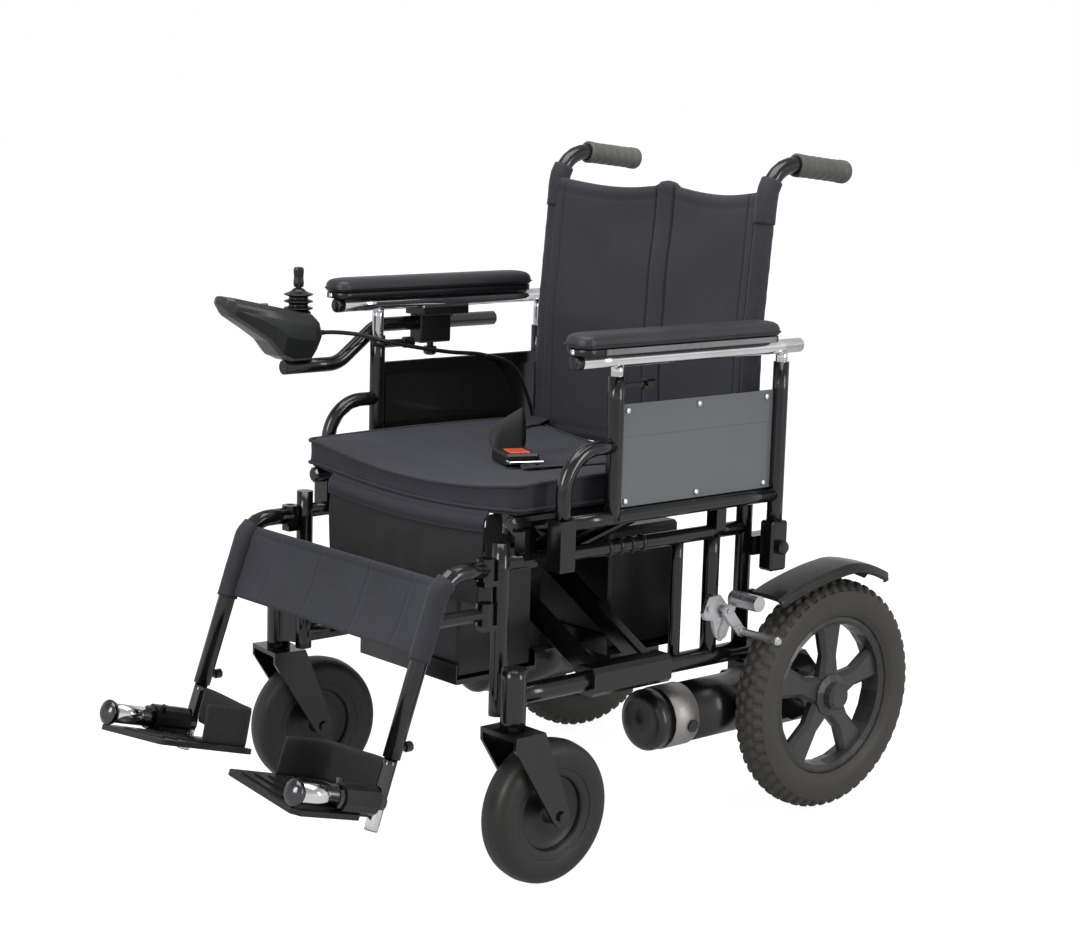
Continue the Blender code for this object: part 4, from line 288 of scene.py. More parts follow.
# %% Start of a finish
def new_finish(name, roughness, metallic=0.0, coat=0.0, ior=1.5, sheen=0.0):
    """A Principled material and the sockets that its colour, roughness and bump are worked out from."""
    made = bpy.data.materials.new(name)
    made.use_nodes = True
    tree = made.node_tree
    shader = tree.nodes["Principled BSDF"]
    shader.inputs["Roughness"].default_value = roughness
    shader.inputs["Metallic"].default_value = metallic
    shader.inputs["Coat Weight"].default_value = coat
    shader.inputs["Coat Roughness"].default_value = 0.06
    shader.inputs["IOR"].default_value = ior
    shader.inputs["Sheen Weight"].default_value = sheen
    shader.inputs["Sheen Roughness"].default_value = 0.5
    where = tree.nodes.new("ShaderNodeTexCoord").outputs
    return made, tree, shader, where


def bump(tree, shader, height, depth, strength=1.0):
    """Feeds a height from 0 to 1, worth a depth in metres, to the shader's normal."""
    made = add_node(tree, "Bump", {"Height": height, "Distance": depth, "Strength": strength})
    tree.links.new(made.outputs[0], shader.inputs["Normal"])


def dusty(tree, where, colour, amount, dust=(0.30, 0.29, 0.27)):
    """A colour with dust on what faces up, and the dust's mask."""
    taken = {"Vector": where["Object"], "Normal": where["Normal"], "Amount": amount}
    masked = use_group(tree, dust_group, taken)["Mask"]
    return blend_colour(tree, masked, colour, dust), masked


def toned(tree, where, colour, scale, strength):
    """A colour that drifts slowly over the object, with the mask of the drift."""
    taken = {"Vector": where["Object"], "Colour": (*colour, 1), "Scale": scale, "Strength": strength}
    return use_group(tree, tone_group, taken)

# %% Painted, plated and bare metal
def enamel(name, colour, roughness=0.15):
    """Sprayed enamel: near black and glossy, with slow waves in the coat and light dust."""
    made, tree, shader, where = new_finish(name, roughness, ior=1.62)
    tone = toned(tree, where, colour, 6.0, 0.35)
    base, masked = dusty(tree, where, tone["Colour"], 0.02)
    tree.links.new(base, shader.inputs["Base Color"])
    tree.links.new(spread(tree, masked, 0.0, 0.04, roughness, roughness + 0.12), shader.inputs["Roughness"])
    peel = add_node(tree, "TexNoise", {"Vector": where["Object"], "Scale": 260.0, "Detail": 1.0})
    bump(tree, shader, peel.outputs[0], 0.00012, 0.4)
    return made


def plated(name, colour, roughness, streak=0.1, along=(1, 1, 1)):
    """Bright plate or bare metal: fine streaks that run one way change its roughness."""
    made, tree, shader, where = new_finish(name, roughness, metallic=1.0)
    stretch = add_node(tree, "Mapping", {"Vector": where["Object"], "Scale": along})
    lines = add_node(tree, "TexNoise", {"Vector": stretch.outputs[0], "Scale": 300.0, "Detail": 3.0})
    tree.links.new(toned(tree, where, colour, 14.0, 0.2)["Colour"], shader.inputs["Base Color"])
    streaked = spread(tree, lines.outputs[0], 0.3, 0.7, roughness, roughness + streak)
    tree.links.new(streaked, shader.inputs["Roughness"])
    bump(tree, shader, lines.outputs[0], 0.00004, 0.3)
    return made


black_enamel = enamel("black_enamel", (0.0040, 0.0040, 0.0038), 0.17)
motor_enamel = enamel("motor_enamel", (0.0060, 0.0058, 0.0056), 0.30)
chrome = plated("chrome_plate", (0.82, 0.82, 0.83), 0.06, 0.06)
dark_chrome = plated("smoked_chrome", (0.10, 0.10, 0.105), 0.12, 0.08)
dull_aluminium = plated("dull_aluminium", (0.40, 0.39, 0.38), 0.46, 0.15)
bare_aluminium = plated("bare_aluminium", (0.62, 0.62, 0.63), 0.24, 0.2, (1, 0.08, 1))
zinc_steel = plated("zinc_steel", (0.36, 0.36, 0.36), 0.32, 0.2)

# %% [markdown]
# Rubber, plastic and vinyl
# Tyre rubber is dull and warm, and dust sits between its knobs. Moulded plastic has a fine spark-eroded
# grain that breaks up its highlights, and the arm pads' vinyl has a coarser leather grain.

# %% Rubber and plastic
def moulded(name, colour, roughness, grain=1100.0, depth=0.00006, dust=0.06, coat=0.0, strength=0.3):
    """Moulded plastic or rubber with its grain, its change of tone and its dust."""
    made, tree, shader, where = new_finish(name, roughness, coat=coat)
    tone = toned(tree, where, colour, 9.0, strength)
    base, _ = dusty(tree, where, tone["Colour"], dust)
    tree.links.new(base, shader.inputs["Base Color"])
    handled = spread(tree, tone["Mask"], 0.0, 1.0, roughness - 0.04, roughness + 0.06)
    tree.links.new(handled, shader.inputs["Roughness"])
    height = use_group(tree, grain_group, {"Vector": where["Object"], "Scale": grain})["Height"]
    bump(tree, shader, height, depth, 0.6)
    return made


tyre_rubber = moulded("tyre_rubber", (0.046, 0.044, 0.040), 0.55, 700.0, 0.0001, 0.10)
caster_rubber = moulded("caster_rubber", (0.013, 0.013, 0.012), 0.44, 900.0, 0.00006, 0.05)
grip_rubber = moulded("grip_rubber", (0.105, 0.107, 0.100), 0.50, 900.0, 0.0001, 0.06)
wheel_plastic = moulded("wheel_plastic", (0.050, 0.050, 0.050), 0.32, 1000.0, 0.00005, 0.06)
black_plastic = moulded("black_plastic", (0.007, 0.007, 0.0075), 0.34, 1100.0, 0.00005, 0.04)
pod_plastic = moulded("pod_plastic", (0.022, 0.023, 0.023), 0.32, 1300.0, 0.00004, 0.04)
pad_side = moulded("pad_side_plastic", (0.27, 0.27, 0.29), 0.28, 1300.0, 0.00003, 0.03)
vinyl = moulded("vinyl", (0.024, 0.024, 0.029), 0.46, 420.0, 0.00016, 0.03)
red_button = moulded("red_button", (0.66, 0.085, 0.030), 0.35, 1200.0, 0.00003, 0.01, strength=0.1)
fender_plastic = moulded("fender_plastic", (0.012, 0.012, 0.011), 0.30, 1300.0, 0.00002, 0.03)
bright_bolt = plated("bright_bolt", (0.80, 0.80, 0.80), 0.30, 0.1)
grey_button = moulded("grey_button", (0.20, 0.20, 0.21), 0.4, 1200.0, 0.00003, 0.03)

# %% Finishes that change by place
# Height of the guard's crease, where a faint line of painted shade is drawn.
PAINTED_CREASE_Z = 0.5560
CLAMP_Y, CLAMP_HALF, CLAMP_TOP, CLAMP_SIDE = 0.0635, 0.0430, 0.6722, -0.2567


def guard_with_painted_shade(name, side):
    """Skirt guard sheet: mid grey outside and black inside, where the black is painted shade, with a faint
    dark line of painted shade where it is creased across.
    """
    made, tree, shader, where = new_finish(name, 0.26, coat=0.3)
    facing = add_node(tree, "SeparateXYZ", {0: where["Normal"]}).outputs["X"]
    # Faces that look inward take black: painted shade, because the guard's inside lies in shade.
    outside = maths(tree, "GREATER_THAN", maths(tree, "MULTIPLY", facing, float(side)), 0.3)
    height = add_node(tree, "SeparateXYZ", {0: where["Object"]}).outputs["Z"]
    off = maths(tree, "ABSOLUTE", maths(tree, "SUBTRACT", height, PAINTED_CREASE_Z))
    # A faint dark line along the crease: painted shade.
    crease = spread(tree, off, 0.0004, 0.0012, 0.30, 0.0)
    grey = toned(tree, where, (0.172, 0.182, 0.192), 5.0, 0.10)["Colour"]
    grey_with_painted_crease_shade = blend_colour(tree, crease, grey, (0.06, 0.06, 0.06))
    both = blend_colour(tree, outside, (0.0075, 0.0075, 0.0065), grey_with_painted_crease_shade)
    base, _ = dusty(tree, where, both, 0.02)
    tree.links.new(base, shader.inputs["Base Color"])
    height = use_group(tree, grain_group, {"Vector": where["Object"], "Scale": 1300.0})["Height"]
    bump(tree, shader, height, 0.00002, 0.5)
    return made


def clamped_chrome():
    """The right armrest's tube is plated, and its clamp is black: a box of space tells them apart."""
    made = plated("chrome_and_clamp", (0.82, 0.82, 0.83), 0.06, 0.06)
    tree = made.node_tree
    shader = tree.nodes["Principled BSDF"]
    where = tree.nodes.new("ShaderNodeTexCoord").outputs["Object"]
    x, y, z = add_node(tree, "SeparateXYZ", {0: where}).outputs[:3]
    along = maths(tree, "LESS_THAN", maths(tree, "ABSOLUTE", maths(tree, "SUBTRACT", y, CLAMP_Y)), CLAMP_HALF)
    below, beside = maths(tree, "LESS_THAN", z, CLAMP_TOP), maths(tree, "LESS_THAN", x, CLAMP_SIDE)
    painted = maths(tree, "MULTIPLY", along, maths(tree, "MAXIMUM", below, beside))
    plate_colour = shader.inputs["Base Color"].links[0].from_socket
    both = blend_colour(tree, painted, plate_colour, (0.006, 0.006, 0.006))
    tree.links.new(both, shader.inputs["Base Color"])
    tree.links.new(maths(tree, "SUBTRACT", 1.0, painted), shader.inputs["Metallic"])
    plate_rough = shader.inputs["Roughness"].links[0].from_socket
    tree.links.new(maths(tree, "MULTIPLY_ADD", painted, 0.2, plate_rough), shader.inputs["Roughness"])
    return made


guards = {1: guard_with_painted_shade("left_guard_sheet_painted_shade", 1), -1: guard_with_painted_shade("right_guard_sheet_painted_shade", -1)}
chrome_and_clamp = clamped_chrome()

# %% [markdown]
# Cloth
# The seat and back are nylon, woven tightly enough that only a soft grain shows from a few metres. The
# weave follows each piece's own UV map, which is in metres, so that its threads keep their size over every
# fold. Webbing is the same weave with coarser threads and a ribbed edge.

# %% Woven cloth
def woven(name, colour, thread=0.0011, depth=0.00022, roughness=0.74, dust=0.03, sheen=0.25, crease=0.0006):
    """Nylon cloth: threads from the UV map, soft creases and a drift of tone from the object's place."""
    made, tree, shader, where = new_finish(name, roughness, sheen=sheen)
    shader.inputs["Sheen Tint"].default_value = (0.45, 0.47, 0.55, 1)
    tone = toned(tree, where, colour, 7.0, 0.30)
    threads = use_group(tree, weave_group, {"Vector": where["UV"], "Thread": thread})
    shade = spread(tree, threads["Shade"], 0.0, 1.0, 0.65, 1.25)
    lit = add_node(tree, "VectorMath", {0: tone["Colour"], "Scale": shade}, operation="SCALE").outputs[0]
    base, _ = dusty(tree, where, lit, dust, (0.20, 0.19, 0.18))
    tree.links.new(base, shader.inputs["Base Color"])
    crumpled = {"Vector": where["Object"], "Scale": 38.0, "Detail": 3.0, "Distortion": 0.6}
    folds = add_node(tree, "TexNoise", crumpled)
    soft = add_node(tree, "Bump", {"Height": folds.outputs[0], "Distance": crease, "Strength": 0.5})
    fine = add_node(tree, "Bump", {"Height": threads["Height"], "Distance": depth, "Strength": 0.7})
    tree.links.new(soft.outputs[0], fine.inputs["Normal"])
    tree.links.new(fine.outputs[0], shader.inputs["Normal"])
    return made


seat_nylon = woven("seat_nylon", (0.0150, 0.0150, 0.0235), sheen=0.18)
back_nylon = woven("back_nylon", (0.023, 0.0232, 0.030))
dark_nylon = woven("dark_nylon", (0.0105, 0.0105, 0.0108), sheen=0.1)
calf_nylon = woven("calf_nylon", (0.0185, 0.0190, 0.0265))
webbing = woven("webbing", (0.0105, 0.0098, 0.0105), 0.0020, 0.00035, sheen=0.12, crease=0.0002)
binding = woven("binding", (0.017, 0.017, 0.024), 0.0009, 0.0002, crease=0.0)
thread = moulded("sewing_thread", (0.006, 0.006, 0.007), 0.6, 2600.0, 0.00003, 0.0, strength=0.1)

# %% [markdown]
# Giving the frame its finishes
# The pieces of the frame keep their shapes, so each only takes a new material in its slot. A name tells
# what a piece is, so one table from name endings to finishes covers both sides.

# %% Finishes of the frame's own pieces
FINISHES = {
    "frame": black_enamel, "hanger": black_enamel, "brace": black_enamel, "arm_frame": black_enamel,
    "caster_fork": black_enamel, "fender": black_plastic, "battery_cradle": black_enamel,
    "joystick_mount": black_enamel, "motor": motor_enamel, "arm_tube": chrome, "foot_tube": dark_chrome,
    "belt_tongue": chrome, "lock_base": bare_aluminium, "lock_lever": bare_aluminium,
    "lock_shoe": bare_aluminium, "brace_bolt": zinc_steel, "joystick_gimbal": zinc_steel,
    "grip": grip_rubber, "tyre": tyre_rubber, "mag_wheel": wheel_plastic, "caster_wheel": caster_rubber,
    "footplate": black_plastic, "battery": black_plastic, "belt_buckle": black_plastic,
    "controller_pod": pod_plastic, "joystick_stick": black_plastic, "joystick_gaiter": black_plastic,
    "power_button": grey_button, "belt_button": red_button, "left_skirt_guard": guards[1],
    "right_skirt_guard": guards[-1], "right_arm_tube": chrome_and_clamp, "arm_pad": vinyl,
    "seat_cushion": seat_nylon, "seat_sling": seat_nylon, "back_upholstery": back_nylon,
    "calf_strap": calf_nylon, "heel_loop": webbing, "lap_strap": webbing, "controller_cable": black_plastic,
}
for name, piece in nodes.items():
    ending = max((e for e in FINISHES if name.endswith(e)), key=len)
    for place in piece.material_slots:
        place.material = FINISHES[ending]
print("finishes given to", len(nodes), "pieces")

# %% [markdown]
# Surfaces from grids
# Every new piece is a grid of points: rows along the piece and columns across it. One function joins the
# points into faces, closes the ends, and lays out a UV map in metres. A slab is such a grid that goes along
# a cloth's front and comes back along its rear, a tube is a ring carried along a path, and a turned piece
# is a profile carried in a circle.

# %% Grid to mesh
CLOTH_STEP = 0.002


def length_so_far(path):
    """The distance along a line at each of its points."""
    return np.concatenate([[0], np.cumsum(np.linalg.norm(np.diff(path, axis=0), axis=1))])


def shade_smooth(mesh):
    """Marks every face as part of a curved surface."""
    mesh.polygons.foreach_set("use_smooth", np.ones(len(mesh.polygons), dtype=bool))


def quads_of(rows, columns, wrap_rows=False):
    """The points of each face between closed rows, and the row and column that it starts from."""
    i, j = np.meshgrid(np.arange(rows if wrap_rows else rows - 1), np.arange(columns), indexing="ij")
    up, across = (i + 1) % rows, (j + 1) % columns
    quads = np.stack([i * columns + j, i * columns + across, up * columns + across, up * columns + j], -1)
    return quads.reshape(-1, 4), i, j


def finished(name, mesh, finish):
    """An object of a mesh, with its faces turned outward and its finish on."""
    shell = bmesh.new()
    shell.from_mesh(mesh)
    bmesh.ops.recalc_face_normals(shell, faces=shell.faces)
    shell.to_mesh(mesh)
    shell.free()
    mesh.materials.append(finish)
    made = bpy.data.objects.new(name, mesh)
    bpy.context.scene.collection.objects.link(made)
    return made


def grid_piece(name, grid, finish, wrap_rows=False, caps="fan", u=None, v=None):
    """A mesh whose faces join each point to its neighbours in the next row and column, with closed ends."""
    rows, columns = grid.shape[:2]
    quads, i, j = quads_of(rows, columns, wrap_rows)
    faces = quads.tolist()
    if caps == "fan":
        faces += [list(range(columns)), [(rows - 1) * columns + k for k in range(columns)][::-1]]
    if caps == "strip":
        half = columns // 2
        k = np.arange(half - 1)
        strip = np.stack([k, k + 1, columns - 2 - k, columns - 1 - k], -1)
        faces += strip.tolist() + (strip[:, ::-1] + (rows - 1) * columns).tolist()
    mesh = bpy.data.meshes.new(name)
    mesh.from_pydata(grid.reshape(-1, 3).tolist(), [], faces)
    u = np.arange(columns + 1) * CLOTH_STEP if u is None else np.asarray(u)
    v = np.arange(rows + 1) * CLOTH_STEP if v is None else np.asarray(v)
    turns = ((0, 0), (1, 0), (1, 1), (0, 1))
    corners = [np.stack([u[j + a], v[i + b]], -1).reshape(-1, 2) for a, b in turns]
    flat = np.zeros((len(mesh.loops), 2), dtype=np.float32)
    flat[: 4 * len(quads)] = np.stack(corners, 1).reshape(-1, 2)
    mesh.uv_layers.new(name="cloth").uv.foreach_set("vector", flat.ravel())
    shade_smooth(mesh)
    return finished(name, mesh, finish)


def slab(name, front, back, finish, u=None, v=None):
    """A sheet with two faces: each row goes along the front and returns along the back."""
    grid = np.concatenate([front, back[:, ::-1]], axis=1)
    columns = front.shape[1]
    u = np.linspace(0, CLOTH_STEP * columns, columns) if u is None else u
    v = np.arange(len(front)) * CLOTH_STEP if v is None else v
    around = np.concatenate([u, u[::-1], u[:1]])
    return grid_piece(name, grid, finish, caps="strip", u=around, v=np.append(v, v[-1]))

# %% Paths, tubes and turned pieces
SLEEVE_SIDES = 40


def rounded_path(corners, radius, steps=8):
    """A line through corners, each rounded by an arc that leaves it radius x tan(half the turn) before it."""
    corners = [np.array(c, float) for c in corners]
    points = [corners[0]]
    for before, corner, after in zip(corners, corners[1:], corners[2:]):
        a, b = before - corner, after - corner
        a, b = a / np.linalg.norm(a), b / np.linalg.norm(b)
        half = np.arccos(np.clip(a @ b, -1, 1)) / 2
        reach = radius / np.tan(half)
        centre = corner + (a + b) / np.linalg.norm(a + b) * radius / np.sin(half)
        start, end = corner + a * reach - centre, corner + b * reach - centre
        turn = np.pi - 2 * half
        t = np.linspace(0, 1, steps + 1)[:, None]
        points.extend(centre + (np.sin((1 - t) * turn) * start + np.sin(t * turn) * end) / np.sin(turn))
    points.append(corners[-1])
    return np.array(points)


def evenly(path, step):
    """The same line with points a step apart, by its length so far."""
    length = length_so_far(path)
    at = np.linspace(0, length[-1], max(int(length[-1] / step), 2) + 1)
    return np.stack([np.interp(at, length, path[:, k]) for k in range(path.shape[1])], -1), at


def spline(points, steps=8):
    """A Catmull-Rom curve: each stretch is a cubic whose slopes are half the chords round its ends."""
    p = np.array(points, float)
    p = np.concatenate([2 * p[:1] - p[1:2], p, 2 * p[-1:] - p[-2:-1]])
    t = np.linspace(0, 1, steps, endpoint=False)[None, :, None]
    a, b, c, d = (p[k: len(p) - 3 + k, None] for k in range(4))
    curve = 0.5 * (2 * b + (c - a) * t + (2 * a - 5 * b + 4 * c - d) * t**2 + (3 * b - a - 3 * c + d) * t**3)
    return np.concatenate([curve.reshape(-1, p.shape[1]), p[-2:-1]])


def unit(vectors):
    """Vectors of length one."""
    return vectors / np.linalg.norm(vectors, axis=-1, keepdims=True)


def smooth(value):
    """Rises from 0 to 1 with level ends."""
    value = np.clip(value, 0.0, 1.0)
    return value * value * (3 - 2 * value)


def frames_along(path, up, closed=False):
    """Two directions square to the path at each point: the first is up crossed with the way ahead."""
    if closed:
        ahead = unit(np.roll(path, -1, 0) - np.roll(path, 1, 0))
    else:
        ahead = unit(np.gradient(path, axis=0))
    aside = unit(np.cross(np.broadcast_to(up, path.shape), ahead))
    return aside, np.cross(ahead, aside)


def ring_round(aside, over, sides):
    """The directions from each point of a path to the points of a circle round it."""
    a = np.linspace(0, 2 * np.pi, sides, endpoint=False)
    return np.cos(a)[None, :, None] * aside[:, None] + np.sin(a)[None, :, None] * over[:, None]


def tube_piece(name, path, radius, finish, sides=28, closed=False):
    """A ring of points at a radius from each point of a path."""
    path = np.asarray(path, float)
    aside, over = frames_along(path, (0, 0, 1), closed)
    around = np.linspace(0, 2 * np.pi * radius, sides + 1)
    along = length_so_far(path)
    grid = path[:, None] + ring_round(aside, over, sides) * radius
    along = np.append(along, along[-1] + CLOTH_STEP)
    return grid_piece(name, grid, finish, closed, None if closed else "fan", around, along)


def sleeve_piece(name, path, outer, inner, finish, folds, seed):
    """A tube with a wall: its rows go along the outside and come back inside. Folds ripple the outside."""
    path = np.asarray(path, float)
    aside, over = frames_along(path, (1, 0, 0))
    a = np.linspace(0, 2 * np.pi, SLEEVE_SIDES, endpoint=False)
    ring = ring_round(aside, over, SLEEVE_SIDES)
    s = length_so_far(path)
    ripple = np.sin(s[:, None] * 210 + 2.1 * np.sin(a + seed)) * np.sin(s[:, None] * 67 + 3 * a + seed)
    wall = outer + folds * ripple
    rows = np.concatenate([path[:, None] + ring * wall[..., None], (path[:, None] + ring * inner)[::-1]])
    around = np.linspace(0, 2 * np.pi * outer, SLEEVE_SIDES + 1)
    return grid_piece(name, rows, finish, True, None, around, np.concatenate([s, s[::-1], s[:1]]))


def turned_piece(name, profile, foot, axis, finish, steps=72, closed=False):
    """A profile of radius and height carried in a circle round an axis."""
    profile = np.array(profile, float)
    axis = unit(np.array(axis, float))
    across = unit(np.cross(axis, (0.0, 0.3, 0.9) if abs(axis[2]) < 0.9 else (1.0, 0.0, 0.0)))
    aside = np.cross(axis, across)
    a = np.linspace(0, 2 * np.pi, steps, endpoint=False)
    ring = np.cos(a)[:, None] * across + np.sin(a)[:, None] * aside
    grid = np.array(foot) + profile[:, None, :1] * ring[None] + profile[:, None, 1:] * axis
    return grid_piece(name, grid, finish, closed, None if closed else "fan")


def belongs(piece, body, slot_name, *stands_for):
    """Puts a piece on its body and hides the plain node that it stands for; its slot name is not used. A
    piece that bends between two bodies takes none here."""
    if body:
        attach(piece, body)
    if stands_for:
        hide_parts(*stands_for)
    return piece

# %% [markdown]
# Round skins for the tubes
# A catalogue picture's white soft boxes run as long clean lines along every tube. The frame's own tubes
# have few sides, which would break those lines, so each gets a round skin a fifth of a millimetre proud of
# it. The skins of one body are one piece, made from several paths.

# %% Several tubes as one piece
PROUD = 0.0002


def tubes_piece(name, tubes, finish, sides=32):
    """Rings at a radius from each path, one after the other in one mesh."""
    points, faces, start = [], [], 0
    for path, radius in tubes:
        path = np.asarray(path, float)
        up = (0.0, 0.0, 1.0) if abs(unit(path[-1] - path[0])[2]) < 0.8 else (1.0, 0.0, 0.0)
        aside, over = frames_along(path, up)
        points.append((path[:, None] + ring_round(aside, over, sides) * radius).reshape(-1, 3))
        faces += (quads_of(len(path), sides)[0] + start).tolist()
        first, last = start, start + (len(path) - 1) * sides
        faces += [list(range(first, first + sides)), list(range(last, last + sides))[::-1]]
        start += len(path) * sides
    mesh = bpy.data.meshes.new(name)
    mesh.from_pydata(np.concatenate(points).tolist(), [], faces)
    mesh.polygons.foreach_set("use_smooth", [len(f) == 4 for f in faces])
    return finished(name, mesh, finish)


def skin(name, tubes, finish, body, slot_name):
    """The round skins of some tubes as one piece of a body, each a little proud of its tube."""
    proud = [(path, radius + PROUD) for path, radius in tubes]
    return belongs(tubes_piece(name, proud, finish), body, slot_name)

# %% Skins of the frame's tubes
SIDES = ((1, "left"), (-1, "right"))
FRAME_X, ARM_X = 0.208, 0.2465
LOWER_RAIL_Z, UPPER_RAIL_Z = 0.2345, 0.4065
TUBE_R, RAIL_R, ARM_TUBE_R = 0.011, 0.0127, 0.0095
ARM_TUBE_Z, ARM_LIFT = 0.6565, {1: 0.0, -1: 0.025}
FRONT_POST_Y, REAR_POST_Y = -0.054, 0.247
CASTER_X, CASTER_Y = 0.2515, -0.2153
POD_X = -0.2685
FOOT_SLOPE, KNEE = math.radians(19), (-0.36966, 0.1882)
CANE = [(0.229, 0.2345), (0.229, 0.66), (0.24514, 0.8483), (0.248, 0.86119), (0.25412, 0.87288)]
CANE += [(0.26309, 0.88256), (0.27428, 0.88955), (0.28691, 0.89338), (0.3001, 0.89376), (0.306, 0.8932)]


def straight(start, end, parts=6):
    """Points from start to end, evenly spaced."""
    return np.linspace(start, end, parts + 1)


for side, label in SIDES:
    x, arm_x = side * FRAME_X, side * ARM_X
    arm_z = ARM_TUBE_Z + ARM_LIFT[side]
    housing_x = side * CASTER_X
    tubes = [
        (straight((x, -0.204, LOWER_RAIL_Z), (x, 0.242, LOWER_RAIL_Z)), RAIL_R),
        (straight((x, -0.203, UPPER_RAIL_Z), (x, 0.228, UPPER_RAIL_Z)), 0.0095),
        (straight((x, -0.204, 0.2142), (x, -0.204, 0.4343)), TUBE_R),
        (straight((x, 0.103, 0.2375), (x, 0.103, 0.4035)), 0.008),
        (straight((x, 0.168, 0.2375), (x, 0.168, 0.4035)), TUBE_R),
        (np.array([(x, y, z) for y, z in CANE]), TUBE_R),
        (straight((housing_x, CASTER_Y, 0.2087), (housing_x, CASTER_Y, 0.2848)), 0.016),
    ]
    skin(label + "_frame_skin", tubes, black_enamel, label + "_side", "black_paint")
    bend = rounded_path([(x, -0.229, 0.403), (x, -0.2943, 0.403), (x, *KNEE)], 0.045, 14)
    skin(label + "_hanger_skin", [(bend, TUBE_R)], black_enamel, label + "_swing_hanger", "black_paint")
    rail = straight((arm_x, -0.1282, arm_z), (arm_x, 0.2802, arm_z))
    skin(label + "_arm_tube_skin", [(rail, ARM_TUBE_R)], chrome, label + "_arm_top", "chrome")
    for k, y in enumerate((FRONT_POST_Y, REAR_POST_Y)):
        post = straight((arm_x, y, 0.600), (arm_x, y, arm_z - 0.006))
        skin(f"{label}_arm_post_skin_{k}", [(post, 0.008)], chrome, label + "_arm_top", "chrome")
    loop = [(arm_x, FRONT_POST_Y, 0.547), (arm_x, -0.138, 0.547), (arm_x, -0.138, 0.4087)]
    lower = [
        (rounded_path(loop, 0.055, 16), ARM_TUBE_R),
        (straight((arm_x, -0.136, 0.4555), (arm_x, 0.245, 0.4555)), 0.009),
        (straight((arm_x, FRONT_POST_Y, 0.4525), (arm_x, FRONT_POST_Y, 0.6358)), 0.0105),
        (straight((arm_x, REAR_POST_Y, 0.4150), (arm_x, REAR_POST_Y, 0.6358)), 0.0105),
    ]
    skin(label + "_arm_frame_skin", lower, black_enamel, label + "_flip_arm", "black_paint")
    slope = unit(np.array([0.0, -math.sin(FOOT_SLOPE), -math.cos(FOOT_SLOPE)]))
    knee = np.array([x, *KNEE])
    for part, low, high, finish in (("upper", 0.0, 0.054, dark_chrome), ("lower", 0.054, 0.0890, chrome)):
        leg = straight(knee + slope * low, knee + slope * high)
        skin(f"{label}_foot_leg_{part}", [(leg, 0.0085)], finish, label + "_footrest", "chrome")
mount = [(POD_X, y, z) for y, z in ((0.175, 0.648), (-0.040, 0.648), (-0.108, 0.597), (-0.1995, 0.597))]
mount = rounded_path(mount, 0.045, 10)
skin("joystick_mount_skin", [(mount, 0.010)], black_enamel, "controller", "black_paint")

# %% Caps and plated pivots
ARM_CAP = [(0.0, 0.0), (0.0080, 0.0), (0.0096, 0.0012), (0.0101, 0.0030), (0.0101, 0.0120), (0.0, 0.0120)]
PIVOT_TUBE = [(0.0, 0.0095), (0.0127, 0.0095), (0.0127, 0.0618), (0.0, 0.0618)]
PIVOT_CAP = [(0.0, -0.0062), (0.0060, -0.0058), (0.0092, -0.0047), (0.0130, -0.0022), (0.0157, 0.0)]
PIVOT_CAP += [(0.0167, 0.0020), (0.0167, 0.0040), (0.0155, 0.0075), (0.0147, 0.0092), (0.0120, 0.0102)]
PIVOT_CAP += [(0.0, 0.0102)]


def pivot_frame(side):
    """The footplate's own directions: its hinge, then inboard, rearward and up from the plate."""
    hinge = np.array([side * FRAME_X, -0.515, 0.173])
    inboard = np.array([-side * 0.995723, 0.02469, 0.08903])
    over = np.array([side * 0.09239, 0.266095, 0.959509])
    return hinge, inboard, np.array([0, 0.96363, -0.267238]), over


for side, label in SIDES:
    hinge, _, rearward, _ = pivot_frame(side)
    for part, profile, finish in (("cap", PIVOT_CAP, dark_chrome), ("tube", PIVOT_TUBE, chrome)):
        made = turned_piece(f"{label}_pivot_{part}", profile, hinge, rearward, finish, 56)
        belongs(made, label + "_footrest", "chrome")
    foot = (side * ARM_X, -0.1296, ARM_TUBE_Z + ARM_LIFT[side])
    plug = turned_piece(label + "_arm_tube_cap", ARM_CAP, foot, (0, 1, 0), black_plastic, 40)
    belongs(plug, label + "_arm_top", "black_plastic")
print("skins given to the tubes")

# %% Motors, fenders and bands
FENDER = [(0.2255, 0.3178), (0.262, 0.3300), (0.308, 0.3412), (0.345, 0.3472), (0.37895, 0.34947)]
FENDER += [(0.41427, 0.34229), (0.44756, 0.32850), (0.45753, 0.32280)]
FENDER_X, FENDER_HALF, FENDER_ROUND = 0.25540, 0.0330, 0.014
MOTOR_CAP = [(0.0, -0.0002), (0.0280, 0.0000), (0.0340, 0.0020), (0.0392, 0.0055), (0.0410, 0.0085)]
MOTOR_CAP += [(0.0417, 0.0120), (0.0417, 0.0222), (0.0397, 0.0242), (0.0397, 0.0288), (0.0, 0.0288)]
MOTOR_CAN = [(0.0, 0.0740), (0.0407, 0.0740), (0.0407, 0.1900), (0.0, 0.1900)]
MOTOR_BAND = [(0.0418, 0.0294), (0.0428, 0.0300), (0.0428, 0.0728), (0.0418, 0.0734)]
MOTOR_PARTS = (
    ("cap", MOTOR_CAP, motor_enamel, "black_paint"),
    ("can", MOTOR_CAN, motor_enamel, "black_paint"),
    ("band", MOTOR_BAND, dull_aluminium, "aluminium"),
)
RAIL_BAND = [(0.0096, -0.0032), (0.0108, -0.0030), (0.0114, -0.0018), (0.0114, 0.0018)]
RAIL_BAND += [(0.0108, 0.0030), (0.0096, 0.0032)]
BOLT_DOME = [(0.0, 0.0), (0.0042, 0.0), (0.0042, 0.0004), (0.0034, 0.0011), (0.0018, 0.0016), (0.0, 0.0017)]
GUARD_FRONT, GUARD_LONG = -0.0432, 0.2794


